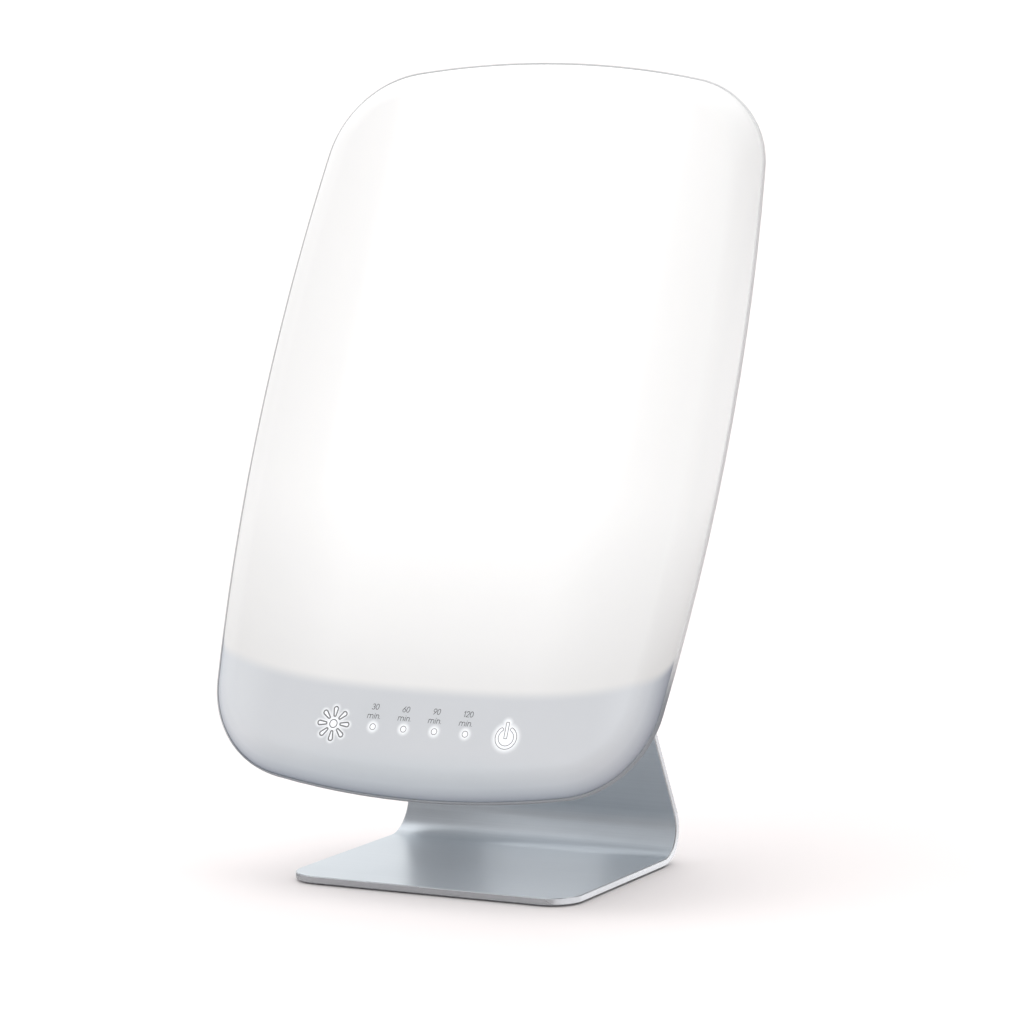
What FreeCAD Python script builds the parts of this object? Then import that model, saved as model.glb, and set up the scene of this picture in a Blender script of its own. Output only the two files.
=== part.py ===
import FreeCAD, Part
import math
import os
import Sketcher

# Light therapy lamp: a large opal light panel on a bent sheet stand.
#
# Row frame: +X to the lamp's right-hand side as the user faces the panel's
# back (to the right of someone looking at the lit face), +Y to the back, +Z
# up, origin on the table under the centre of the lamp. Millimetres.
#
# Three local frames are used:
#   head frame  x across the panel, y up along the panel, z out of the lit
#               face, origin at the middle of the rim plane of the panel
#   hinge frame the head frame moved onto the tilt axis
#   mast frame  x along the tilt axis, y square to the stand's upright and
#               pointing back, z up along the upright, origin on the axis

V = FreeCAD.Vector
doc = FreeCAD.newDocument("light_panel_lamp")

# --------------------------------------------------------------------------
# Driving dimensions
# --------------------------------------------------------------------------
SIZES = [
    # placement of the whole lamp
    ("foot_gap", 1.2), ("axis_y", 5.0047), ("axis_z", 240.9),
    ("axis_v", -67.56), ("axis_w", -35.0),
    ("tilt", 25.46), ("lean", 14.65),
    # outline of the panel: four long arcs joined by corner arcs
    ("half_width", 186.3), ("half_height", 275.0), ("side_radius", 1799.0),
    ("side_mid", 4.6), ("top_radius", 646.5), ("bottom_radius", 662.0),
    ("corner_top", 75.0), ("corner_bottom", 75.0),
    # opal front cover
    ("cover_gap", 1.5), ("cover_rise", 15.0), ("cover_round", 20.0),
    ("cover_wall", 2.5),
    # rear housing
    ("rim_top", 0.6), ("rim_bead", 1.2), ("lip_wall", 1.2), ("lip_rise", 1.0),
    ("back_depth", 24.0),
    ("back_slope", 45.0), ("back_wall", 2.5), ("back_soften", 55.0),
    ("rib_out", 5.0), ("rib_in", 7.0), ("rib_rise", 3.0),
    ("end_screw_x", 80.0), ("end_screw_y", 257.6),
    ("side_screw_x", 172.0), ("side_screw_y", 95.0),
    # light box
    ("tray_edge", 16.0), ("tray_floor", 16.0), ("tray_sheet", 0.8),
    ("tray_draft", 22.0), ("lit_bottom", 192.0), ("lit_radius", 662.0),
    ("lit_corner", 62.0), ("diffuser_sheet", 1.5),
    ("strip_length", 336.0), ("strip_width", 10.0), ("strip_pitch", 34.0),
    ("strip_low", -143.0), ("strip_sheet", 1.2), ("chip_pitch", 28.0),
    ("tray_screw_x", 102.0), ("tray_screw_y", 130.0),
    # control strip
    ("key_row", -227.8), ("dot_pitch", 24.3), ("key_x", 68.0),
    ("key_board_x", 88.0), ("key_board_low", -246.0), ("key_board_top", -210.0),
    ("board_sheet", 1.6),
    ("driver_left", -100.0), ("driver_right", 40.0), ("driver_low", -232.0),
    ("driver_top", -196.0), ("driver_w", -15.0),
    # power inlet
    ("inlet_x", 106.0), ("inlet_y", -190.0), ("inlet_bore", 2.85),
    ("inlet_pin", 1.05), ("inlet_thread", 5.5),
    # tilt hinge
    ("panel_gap", 11.0), ("mast_gap", 12.0), ("pin_radius", 4.0),
    ("pin_fit", 0.05), ("knuckle_radius", 8.0), ("knuckle_half", 25.9),
    ("washer_sheet", 2.0), ("ear_in", 28.0), ("ear_sheet", 4.0),
    ("ear_radius", 9.0), ("ear_foot", 58.0), ("ear_low", 24.0),
    ("ear_high", 10.0), ("mast_screw_x", 46.0), ("mast_screw_low", -15.0),
    ("mast_screw_high", 1.0), ("pad_screw_x", 16.0), ("pad_screw_y", 36.0),
    # stand
    ("sheet", 5.1), ("bend_radius", 23.0), ("bend_y", 48.95),
    ("base_depth", 153.7), ("base_front", 112.7), ("base_rear", 111.1),
    ("base_corner", 23.0), ("mast_length", 228.5), ("mast_top_half", 77.6),
    ("mast_root_half", 108.6), ("mast_corner", 14.0), ("edge_break", 0.6),
    ("pad_radius", 9.0), ("pad_x", 88.0), ("pad_front", 128.0),
    ("pad_rear", 15.0), ("pad_recess", 1.8),
]
sheet = doc.addObject("Spreadsheet::Sheet", "Sizes")
for row, (alias, number) in enumerate(SIZES, 1):
    sheet.set("A%d" % row, alias)
    sheet.set("B%d" % row, repr(number))
    sheet.setAlias("B%d" % row, alias)
doc.recompute()


class Q:
    """A dimension that knows its number and its spreadsheet expression."""

    def __init__(self, v, x):
        self.v = float(v)
        self.x = x

    def __add__(self, o):
        o = q(o)
        return Q(self.v + o.v, "(%s + %s)" % (self.x, o.x))

    def __radd__(self, o):
        return q(o) + self

    def __sub__(self, o):
        o = q(o)
        return Q(self.v - o.v, "(%s - %s)" % (self.x, o.x))

    def __rsub__(self, o):
        return q(o) - self

    def __mul__(self, o):
        o = q(o)
        return Q(self.v * o.v, "(%s * %s)" % (self.x, o.x))

    def __rmul__(self, o):
        return q(o) * self

    def __truediv__(self, o):
        o = q(o)
        return Q(self.v / o.v, "(%s / %s)" % (self.x, o.x))

    def __neg__(self):
        return Q(-self.v, "(0 - %s)" % self.x)


def q(o):
    return o if isinstance(o, Q) else Q(o, "%.6f" % o)


class Sheet:
    pass


S = Sheet()
for alias, number in SIZES:
    setattr(S, alias, Q(float(sheet.get(alias)), "Sizes." + alias))


def sin_of(a):
    return Q(math.sin(math.radians(a.v)), "sin(%s * 1deg)" % a.x)


def cos_of(a):
    return Q(math.cos(math.radians(a.v)), "cos(%s * 1deg)" % a.x)


# --------------------------------------------------------------------------
# Helpers
# --------------------------------------------------------------------------
count = [0]


def uniq(stem):
    count[0] += 1
    return "%s_%03d" % (stem, count[0])


def new_body(label):
    b = doc.addObject("PartDesign::Body", label)
    b.Label = label
    return b


def plane(b, role):
    for f in b.Origin.OriginFeatures:
        if f.Role == role:
            return f
    raise RuntimeError(role)


def new_sketch(b, role="XY_Plane", off=None, turn=None):
    sk = b.newObject("Sketcher::SketchObject", uniq("sketch"))
    sk.AttachmentSupport = (plane(b, role), [""])
    sk.MapMode = "FlatFace"
    rot = FreeCAD.Rotation() if turn is None else FreeCAD.Rotation(V(1, 0, 0), turn)
    if off is not None or turn is not None:
        z = q(0 if off is None else off)
        sk.AttachmentOffset = FreeCAD.Placement(V(0, 0, z.v), rot)
        sk.setExpression("AttachmentOffset.Base.z", z.x)
    return sk


def bind(sk, index, value, name):
    sk.renameConstraint(index, name)
    if isinstance(value, Q):
        sk.setExpression("Constraints." + name, value.x)


def at(sk, geo, pos, x, y):
    """Fix one point of a sketch at x, y from its origin."""
    for kind, value in (("DistanceX", x), ("DistanceY", y)):
        n = q(value)
        if abs(n.v) < 1e-9:
            axis = -2 if kind == "DistanceX" else -1
            sk.addConstraint(Sketcher.Constraint("PointOnObject", geo, pos, axis))
            continue
        if n.v > 0:
            i = sk.addConstraint(Sketcher.Constraint(kind, -1, 1, geo, pos, n.v))
            bind(sk, i, value, uniq("d"))
        else:
            i = sk.addConstraint(Sketcher.Constraint(kind, geo, pos, -1, 1, -n.v))
            bind(sk, i, -value if isinstance(value, Q) else value, uniq("d"))


def polygon(sk, pts):
    first = sk.GeometryCount
    num = [(q(x).v, q(y).v) for x, y in pts]
    n = len(pts)
    for i in range(n):
        a, b = num[i], num[(i + 1) % n]
        sk.addGeometry(Part.LineSegment(V(a[0], a[1], 0), V(b[0], b[1], 0)), False)
    for i in range(n):
        sk.addConstraint(Sketcher.Constraint("Coincident", first + i, 2,
                                             first + (i + 1) % n, 1))
    for i in range(n):
        at(sk, first + i, 1, pts[i][0], pts[i][1])


def rectangle(sk, x0, x1, y0, y1):
    polygon(sk, [(x0, y0), (x1, y0), (x1, y1), (x0, y1)])


def circle(sk, x, y, r):
    g = sk.GeometryCount
    sk.addGeometry(Part.Circle(V(q(x).v, q(y).v, 0), V(0, 0, 1), q(r).v), False)
    at(sk, g, 3, x, y)
    i = sk.addConstraint(Sketcher.Constraint("Radius", g, q(r).v))
    bind(sk, i, r, uniq("r"))


def slot(sk, x, y0, y1, r):
    """Upright slot: two half circles joined by straight sides."""
    g = sk.GeometryCount
    xv, a, b, rv = q(x).v, q(y0).v + q(r).v, q(y1).v - q(r).v, q(r).v
    sk.addGeometry(Part.LineSegment(V(xv + rv, a, 0), V(xv + rv, b, 0)), False)
    sk.addGeometry(Part.ArcOfCircle(Part.Circle(V(xv, b, 0), V(0, 0, 1), rv), 0, math.pi), False)
    sk.addGeometry(Part.LineSegment(V(xv - rv, b, 0), V(xv - rv, a, 0)), False)
    sk.addGeometry(Part.ArcOfCircle(Part.Circle(V(xv, a, 0), V(0, 0, 1), rv), math.pi, 2 * math.pi), False)
    for i in range(4):
        sk.addConstraint(Sketcher.Constraint("Tangent", g + i, 2, g + (i + 1) % 4, 1))
    i = sk.addConstraint(Sketcher.Constraint("Radius", g + 1, rv))
    bind(sk, i, r, uniq("r"))
    at(sk, g + 1, 3, x, q(y1) - r)
    at(sk, g + 3, 3, x, q(y0) + r)


def outline(sk, off, lit=False):
    """The panel's outline, moved inward by off. Eight arcs, each tangent to
    the next. With lit=True the lower edge is the arched foot of the light
    box instead of the panel's own lower edge."""
    off = q(off)
    rs, rt, ct = S.side_radius - off, S.top_radius - off, S.corner_top - off
    if lit:
        rb = S.lit_radius - (off - S.tray_edge)
        cb = S.lit_corner - (off - S.tray_edge)
        foot = S.lit_radius - S.lit_bottom
    else:
        rb = S.bottom_radius - off
        cb = S.corner_bottom - off
        foot = S.bottom_radius - S.half_height
    side_c = (S.half_width.v - S.side_radius.v, -S.side_mid.v)
    top_c = (0.0, S.half_height.v - S.top_radius.v)
    bot_c = (0.0, foot.v)

    def corner(c2, r2, r, sy):
        d1, d2 = rs.v - r, r2 - r
        dx, dy = c2[0] - side_c[0], c2[1] - side_c[1]
        L = math.hypot(dx, dy)
        x = (d1 * d1 - d2 * d2 + L * L) / (2 * L)
        y = math.sqrt(d1 * d1 - x * x)
        ex, ey = dx / L, dy / L
        best = None
        for s in (1, -1):
            p = (side_c[0] + ex * x - s * ey * y, side_c[1] + ey * x + s * ex * y)
            if best is None or p[0] + sy * p[1] > best[0] + sy * best[1]:
                best = p
        return best

    def ang(c, p):
        return math.atan2(p[1] - c[1], p[0] - c[0])

    ft = corner(top_c, rt.v, ct.v, 1)
    fb = corner(bot_c, rb.v, cb.v, -1)
    a_fb, a_ft = ang(side_c, fb), ang(side_c, ft)
    a_top = ang(top_c, ft)
    a_bot = ang(bot_c, fb)
    pi = math.pi
    g = sk.GeometryCount

    def arc(c, r, a0, a1):
        sk.addGeometry(Part.ArcOfCircle(Part.Circle(V(c[0], c[1], 0), V(0, 0, 1), r), a0, a1), False)

    arc(side_c, rs.v, a_fb, a_ft)
    arc(ft, ct.v, a_ft, a_top)
    arc(top_c, rt.v, a_top, pi - a_top)
    arc((-ft[0], ft[1]), ct.v, pi - a_top, pi - a_ft)
    arc((-side_c[0], side_c[1]), rs.v, pi - a_ft, pi - a_fb)
    arc((-fb[0], fb[1]), cb.v, pi - a_fb, pi - a_bot)
    arc(bot_c, rb.v, -pi - a_bot, a_bot)
    arc(fb, cb.v, a_bot, a_fb)
    for i in range(8):
        sk.addConstraint(Sketcher.Constraint("Tangent", g + i, 2, g + (i + 1) % 8, 1))
    for i, r in ((0, rs), (1, ct), (2, rt), (6, rb), (7, cb)):
        k = sk.addConstraint(Sketcher.Constraint("Radius", g + i, r.v))
        bind(sk, k, r, uniq("r"))
    for i, j in ((0, 4), (1, 3), (7, 5)):
        sk.addConstraint(Sketcher.Constraint("Equal", g + i, g + j))
    at(sk, g + 2, 3, 0, S.half_height - S.top_radius)
    at(sk, g + 6, 3, 0, foot)
    at(sk, g + 0, 3, S.half_width - S.side_radius, -S.side_mid)
    at(sk, g + 4, 3, S.side_radius - S.half_width, -S.side_mid)


def pad(b, sk, length, reverse=False, both=False):
    f = b.newObject("PartDesign::Pad", uniq("pad"))
    f.Profile = sk
    f.Length = q(length).v
    f.setExpression("Length", q(length).x)
    f.Reversed = reverse
    if both:
        f.SideType = "Symmetric"
    b.Tip = f
    doc.recompute()
    return f


def pocket(b, sk, length=None, reverse=False, both=False):
    before = b.Shape.Volume
    f = b.newObject("PartDesign::Pocket", uniq("pocket"))
    f.Profile = sk
    if length is None:
        f.Type = "ThroughAll"
    else:
        f.Length = q(length).v
        f.setExpression("Length", q(length).x)
    f.Reversed = reverse
    if both:
        f.SideType = "Symmetric"
    b.Tip = f
    doc.recompute()
    if not b.Shape.Volume < before - 1e-3:
        raise RuntimeError("%s: %s cut nothing" % (b.Label, f.Name))
    return f


def loft(b, sketches, cut=False, ruled=True):
    before = b.Shape.Volume if cut else 0
    kind = "PartDesign::SubtractiveLoft" if cut else "PartDesign::AdditiveLoft"
    f = b.newObject(kind, uniq("loft"))
    f.Profile = sketches[0]
    f.Sections = sketches[1:]
    f.Ruled = ruled
    b.Tip = f
    doc.recompute()
    if cut and not b.Shape.Volume < before - 1e-3:
        raise RuntimeError("%s: %s cut nothing" % (b.Label, f.Name))
    return f


def revolve(b, pts_list, angle=360):
    """Turn one or more closed outlines, given as radius and height, about
    the body's own Z axis."""
    sk = new_sketch(b, "XZ_Plane")
    for pts in pts_list:
        polygon(sk, pts)
    doc.recompute()
    f = b.newObject("PartDesign::Revolution", uniq("turn"))
    f.Profile = sk
    f.ReferenceAxis = (sk, ["V_Axis"])
    f.Angle = angle
    b.Tip = f
    doc.recompute()
    return f


def pattern(b, feature, sk, x=None, nx=1, y=None, ny=1):
    f = b.newObject("PartDesign::LinearPattern", uniq("rows"))
    f.Originals = [feature]
    if x is not None:
        f.Direction = (sk, ["H_Axis"])
        f.Length = q(x).v
        f.setExpression("Length", q(x).x)
        f.Occurrences = nx
        if y is not None:
            f.Direction2 = (sk, ["V_Axis"])
            f.Length2 = q(y).v
            f.setExpression("Length2", q(y).x)
            f.Occurrences2 = ny
    else:
        f.Direction = (sk, ["V_Axis"])
        f.Length = q(y).v
        f.setExpression("Length", q(y).x)
        f.Occurrences = ny
    b.Tip = f
    doc.recompute()
    return f


def edges_where(shape, test):
    out = []
    for i, e in enumerate(shape.Edges, 1):
        if test(e):
            out.append("Edge%d" % i)
    return out


def soften(b, names, radius, kind="Fillet"):
    """Fillet or chamfer the named edges; keeps the body as it was when the
    edges can't take the radius."""
    base = b.Tip
    f = b.newObject("PartDesign::" + kind, uniq("edge"))
    f.Base = (base, names)
    if kind == "Fillet":
        f.Radius = q(radius).v
        f.setExpression("Radius", q(radius).x)
    else:
        f.Size = q(radius).v
        f.setExpression("Size", q(radius).x)
    b.Tip = f
    doc.recompute()
    if "Invalid" in f.State or "Error" in f.State or f.Shape.isNull() or not f.Shape.isValid():
        print("edge not softened on", b.Label)
        b.removeObject(f)
        doc.removeObject(f.Name)
        b.Tip = base
        doc.recompute()
        return None
    return f


def place(o, base, turn, axis=(1, 0, 0)):
    """Place an object with its position and angle bound to the sheet."""
    x, y, z = (q(c) for c in base)
    t = q(turn)
    o.Placement = FreeCAD.Placement(V(x.v, y.v, z.v), FreeCAD.Rotation(V(*axis), t.v))
    for name, value in (("Base.x", x), ("Base.y", y), ("Base.z", z)):
        if "Sizes." in value.x:
            o.setExpression("Placement." + name, value.x)
    if "Sizes." in t.x:
        o.setExpression("Placement.Rotation.Angle", t.x)


HEAD_Y = S.axis_y - S.axis_v * sin_of(S.tilt) + S.axis_w * cos_of(S.tilt)
HEAD_Z = S.axis_z - S.axis_v * cos_of(S.tilt) - S.axis_w * sin_of(S.tilt)


def in_head(o, x=0, y=0, z=0):
    """Head frame, with the object's origin at x, y, z in it."""
    y, z = q(y), q(z)
    place(o, (x, HEAD_Y + y * sin_of(S.tilt) - z * cos_of(S.tilt),
              HEAD_Z + y * cos_of(S.tilt) + z * sin_of(S.tilt)), 90 - S.tilt)


def in_head_from_back(o, x=0, y=0, z=0):
    """As in_head, but the object's own Z points out of the housing's back
    and its own Y points down along the panel. A half turn about X, so the
    angle is kept positive."""
    y, z = q(y), q(z)
    place(o, (x, HEAD_Y + y * sin_of(S.tilt) - z * cos_of(S.tilt),
              HEAD_Z + y * cos_of(S.tilt) + z * sin_of(S.tilt)), 270 - S.tilt)


def in_hinge(o):
    place(o, (0, S.axis_y, S.axis_z), 90 - S.tilt)


def in_mast(o):
    place(o, (0, S.axis_y, S.axis_z), S.lean)


kept = []


def keep(o, label=None):
    if label:
        o.Label = label
    kept.append(o)
    return o


def cut(a, b, label):
    o = doc.addObject("Part::Cut", label)
    o.Base, o.Tool = a, b
    o.Label = label
    doc.recompute()
    return o


def screw(label, head_r, head_h, shank_r, length, key_r=None, sides=6, countersunk=False):
    """One screw with its head's underside at z = 0, the head above it and
    the shank below. Returns the body, for a pattern."""
    b = new_body(label)
    e = min(0.35 * head_h, 0.35 * head_r)
    if countersunk:
        prof = [(0, -length), (shank_r - 0.3, -length), (shank_r, -length + 0.4), (shank_r, 0),
                (head_r - 0.3, head_h), (head_r, head_h + 0.25), (0, head_h + 0.25)]
        top = head_h + 0.25
    else:
        prof = [(0, -length), (shank_r - 0.3, -length), (shank_r, -length + 0.4), (shank_r, 0),
                (head_r - 0.15, 0), (head_r, 0.15), (head_r, head_h - 1.6 * e),
                (head_r - 0.35 * e, head_h - 0.7 * e), (head_r - 1.2 * e, head_h - 0.15 * e),
                (head_r - 2.2 * e, head_h), (0, head_h)]
        top = head_h
    f = revolve(b, [prof])
    feats = [f]
    if key_r:
        sk = new_sketch(b, "XY_Plane", top)
        polygon(sk, [(key_r * math.cos(2 * math.pi * i / sides), key_r * math.sin(2 * math.pi * i / sides))
                     for i in range(sides)])
        feats.append(pocket(b, sk, min(0.62 * top, 1.9)))
    return b, feats


def rows_of(b, feats, nx, dx, ny, dy):
    """Repeat the whole screw in a grid, as separate solids."""
    sk = new_sketch(b, "XY_Plane")
    sk.addGeometry(Part.Circle(V(0, 0, 0), V(0, 0, 1), 1), True)
    f = b.newObject("PartDesign::LinearPattern", uniq("rows"))
    f.TransformMode = "Whole shape"
    if nx > 1:
        f.Direction = (sk, ["H_Axis"])
        f.Length = q(dx).v
        f.setExpression("Length", q(dx).x)
        f.Occurrences = nx
        if ny > 1:
            f.Direction2 = (sk, ["V_Axis"])
            f.Length2 = q(dy).v
            f.setExpression("Length2", q(dy).x)
            f.Occurrences2 = ny
    else:
        f.Direction = (sk, ["V_Axis"])
        f.Length = q(dy).v
        f.setExpression("Length", q(dy).x)
        f.Occurrences = ny
    b.Tip = f
    doc.recompute()
    return f


# ==========================================================================
# STAND
# ==========================================================================
# One sheet, bent once: the base plate, a round bend, and an upright that
# leans forward and narrows towards the hinge. Its own origin is on the
# underside where the bend starts.
plate = new_body("stand_plate")
T, R = S.sheet, S.bend_radius
turn_deg = 90 + S.lean.v
sn, cs = math.sin(math.radians(turn_deg)), math.cos(math.radians(turn_deg))
ld = (-math.sin(math.radians(S.lean.v)), math.cos(math.radians(S.lean.v)))
sk = new_sketch(plate, "YZ_Plane")
cz = T.v + R.v
ro, ri, ln = T.v + R.v, R.v, S.mast_length.v
oe = (ro * sn, cz - ro * cs)
ie = (ri * sn, cz - ri * cs)
pts = [(-S.base_depth.v, 0), (0, 0), oe, (oe[0] + ln * ld[0], oe[1] + ln * ld[1]),
       (ie[0] + ln * ld[0], ie[1] + ln * ld[1]), ie, (0, T.v), (-S.base_depth.v, T.v)]
a_end = math.radians(-90 + turn_deg)
G = sk.addGeometry
line = lambda a, b: G(Part.LineSegment(V(a[0], a[1], 0), V(b[0], b[1], 0)), False)
line(pts[0], pts[1])
G(Part.ArcOfCircle(Part.Circle(V(0, cz, 0), V(0, 0, 1), ro), -math.pi / 2, a_end), False)
line(pts[2], pts[3])
line(pts[3], pts[4])
line(pts[4], pts[5])
G(Part.ArcOfCircle(Part.Circle(V(0, cz, 0), V(0, 0, 1), ri), -math.pi / 2, a_end), False)
line(pts[6], pts[7])
line(pts[7], pts[0])
C = Sketcher.Constraint
sk.addConstraint(C("Tangent", 0, 2, 1, 1))
sk.addConstraint(C("Tangent", 1, 2, 2, 1))
sk.addConstraint(C("Coincident", 2, 2, 3, 1))
sk.addConstraint(C("Coincident", 3, 2, 4, 1))
sk.addConstraint(C("Tangent", 4, 2, 5, 2))
sk.addConstraint(C("Tangent", 5, 1, 6, 1))
sk.addConstraint(C("Coincident", 6, 2, 7, 1))
sk.addConstraint(C("Coincident", 7, 2, 0, 1))
sk.addConstraint(C("Coincident", 0, 2, -1, 1))
sk.addConstraint(C("Horizontal", 0))
sk.addConstraint(C("Vertical", 7))
sk.addConstraint(C("Perpendicular", 2, 3))
sk.addConstraint(C("Coincident", 5, 3, 1, 3))
bind(sk, sk.addConstraint(C("Radius", 5, ri)), R, uniq("r"))
bind(sk, sk.addConstraint(C("Radius", 1, ro)), R + T, uniq("r"))
bind(sk, sk.addConstraint(C("Distance", 2, ln)), S.mast_length, uniq("d"))
bind(sk, sk.addConstraint(C("DistanceX", 0, 1, -1, 1, S.base_depth.v)), S.base_depth, uniq("d"))
i = sk.addConstraint(C("Angle", 2, math.radians(90 + S.lean.v)))
sk.renameConstraint(i, "lean_angle")
sk.setExpression("Constraints.lean_angle", "(90 + Sizes.lean) * 1deg")
doc.recompute()
pad(plate, sk, 2 * S.base_front + 8, both=True)

# plan shape of the base: slightly wider at the front, rounded front corners
def mirrored(b, feature):
    m = b.newObject("PartDesign::Mirrored", uniq("mirror"))
    m.Originals = [feature]
    m.MirrorPlane = (plane(b, "YZ_Plane"), [""])
    b.Tip = m
    doc.recompute()
    return m


sk = new_sketch(plate, "XY_Plane")
bf, br, bd, rc = S.base_front.v, S.base_rear.v, S.base_depth.v, S.base_corner.v
slope = math.atan2(bf - br, bd)
# corner arc tangent to the front edge and to the side edge
cy = -bd + rc
# side edge line through (br, 0) and (bf, -bd): distance rc inward
nx_, ny_ = math.cos(slope), math.sin(slope)
cx_ = br + (nx_ * 0 - (cy) * ny_ - 0) / nx_ - rc / nx_
tx_, ty_ = cx_ + rc * nx_, cy + rc * ny_
big = 12.0
P = [(br, 0.0), (tx_, ty_), (cx_, -bd), (cx_, -bd - big), (bf + big, -bd - big), (bf + big, 0.0)]
g0 = sk.GeometryCount
G = sk.addGeometry
G(Part.LineSegment(V(P[0][0], P[0][1], 0), V(P[1][0], P[1][1], 0)), False)
G(Part.ArcOfCircle(Part.Circle(V(cx_, cy, 0), V(0, 0, 1), rc), -math.pi / 2, math.atan2(ty_ - cy, tx_ - cx_)), False)
G(Part.LineSegment(V(P[2][0], P[2][1], 0), V(P[3][0], P[3][1], 0)), False)
G(Part.LineSegment(V(P[3][0], P[3][1], 0), V(P[4][0], P[4][1], 0)), False)
G(Part.LineSegment(V(P[4][0], P[4][1], 0), V(P[5][0], P[5][1], 0)), False)
G(Part.LineSegment(V(P[5][0], P[5][1], 0), V(P[0][0], P[0][1], 0)), False)
sk.addConstraint(C("Tangent", 0, 2, 1, 2))
sk.addConstraint(C("Coincident", 1, 1, 2, 1))
for a, b_ in ((2, 3), (3, 4), (4, 5), (5, 0)):
    sk.addConstraint(C("Coincident", a, 2, b_, 1))
at(sk, 0, 1, S.base_rear, 0)
bind(sk, sk.addConstraint(C("Radius", 1, rc)), S.base_corner, uniq("r"))
at(sk, 1, 3, cx_, -(S.base_depth - S.base_corner))
sk.addConstraint(C("Vertical", 1, 3, 2, 1))
sk.addConstraint(C("Vertical", 2))
at(sk, 3, 1, cx_, -(S.base_depth + big)) if False else bind(
    sk, sk.addConstraint(C("DistanceY", 3, 1, -1, 1, bd + big)), S.base_depth + big, uniq("d"))
sk.addConstraint(C("Horizontal", 3))
bind(sk, sk.addConstraint(C("DistanceX", -1, 1, 4, 1, bf + big)), S.base_front + big, uniq("d"))
sk.addConstraint(C("Vertical", 4))
sk.addConstraint(C("Horizontal", 5))
doc.recompute()
f = pocket(plate, sk, 12.0, both=True)
mirrored(plate, f)

# the lowest part of the bend keeps the width of the base's back edge
sk = new_sketch(plate, "XZ_Plane")
rectangle(sk, S.base_rear, S.base_front + 12, -2, S.sheet + 0.02)
f = pocket(plate, sk, 40.0)
mirrored(plate, f)

# front view of the upright: narrows in the bend, then straight to the top
sk = new_sketch(plate, "XZ_Plane")
ztop = oe[1] + ln * ld[1]
zroot = ie[1]
P = [(S.base_rear, S.sheet), (S.mast_root_half, zroot), (S.mast_top_half, ztop),
     (S.mast_top_half, ztop + 15), (S.base_front + 12, ztop + 15), (S.base_front + 12, S.sheet)]
polygon(sk, P)
f = pocket(plate, sk, None, both=True)
mirrored(plate, f)

# rounded top corners of the upright
names = edges_where(plate.Shape, lambda e: len(e.Vertexes) == 2 and e.Length < 8
                    and e.BoundBox.ZMin > ztop - 12
                    and abs(abs(e.BoundBox.Center.x) - S.mast_top_half.v) < 1.5
                    and e.BoundBox.XLength < 0.8)
soften(plate, names, S.mast_corner)

# screw holes through the upright
mast_foot = (S.axis_y.v - S.bend_y.v, S.axis_z.v - S.foot_gap.v)
along = mast_foot[0] * ld[0] + mast_foot[1] * ld[1]
sk = new_sketch(plate, "XZ_Plane", 0, turn=S.lean.v)
for sx in (-1, 1):
    for z in (S.mast_screw_low, S.mast_screw_high):
        circle(sk, sx * S.mast_screw_x, along + z, 2.25)
pocket(plate, sk, None, both=True)

# recesses for the feet in the underside
sk = new_sketch(plate, "XY_Plane")
for sx in (-1, 1):
    for y in (S.pad_front, S.pad_rear):
        circle(sk, sx * S.pad_x, -y, S.pad_radius + 0.2)
pocket(plate, sk, S.pad_recess, reverse=True)

# broken edges all round
def outer_edge(e):
    """Edges of the two big faces of the sheet, but no holes or recesses."""
    if hasattr(e.Curve, "Radius") and e.Curve.Radius < 12:
        return False
    bb = e.BoundBox
    # the short edges across the sheet's thickness stay
    if e.Length < T.v + 1.0:
        return False
    # lines across the sheet where flat turns into bend are not corners
    if bb.XLength > 100 and bb.YLength < 0.01 and bb.ZLength < 0.01:
        return abs(bb.Center.y + S.base_depth.v) < 0.5 or bb.Center.z > ztop - 12
    return True


soften(plate, edges_where(plate.Shape, outer_edge), S.edge_break, "Chamfer")
place(plate, (0, S.bend_y, S.foot_gap), 0)
keep(plate)

# four thin rubber feet pressed into the recesses
b = new_body("foot_pads")
sk = new_sketch(b, "XY_Plane", -S.foot_gap)
circle(sk, -S.pad_x, -S.pad_front, S.pad_radius)
f = pad(b, sk, S.foot_gap + S.pad_recess)
pattern(b, f, sk, x=2 * S.pad_x, nx=2, y=S.pad_front - S.pad_rear, ny=2)
names = edges_where(b.Shape, lambda e: abs(e.BoundBox.ZMax + S.foot_gap.v) < 1e-3 and e.Length > 20)
soften(b, names, 0.4, "Chamfer")
place(b, (0, S.bend_y, S.foot_gap), 0)
keep(b)

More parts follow.
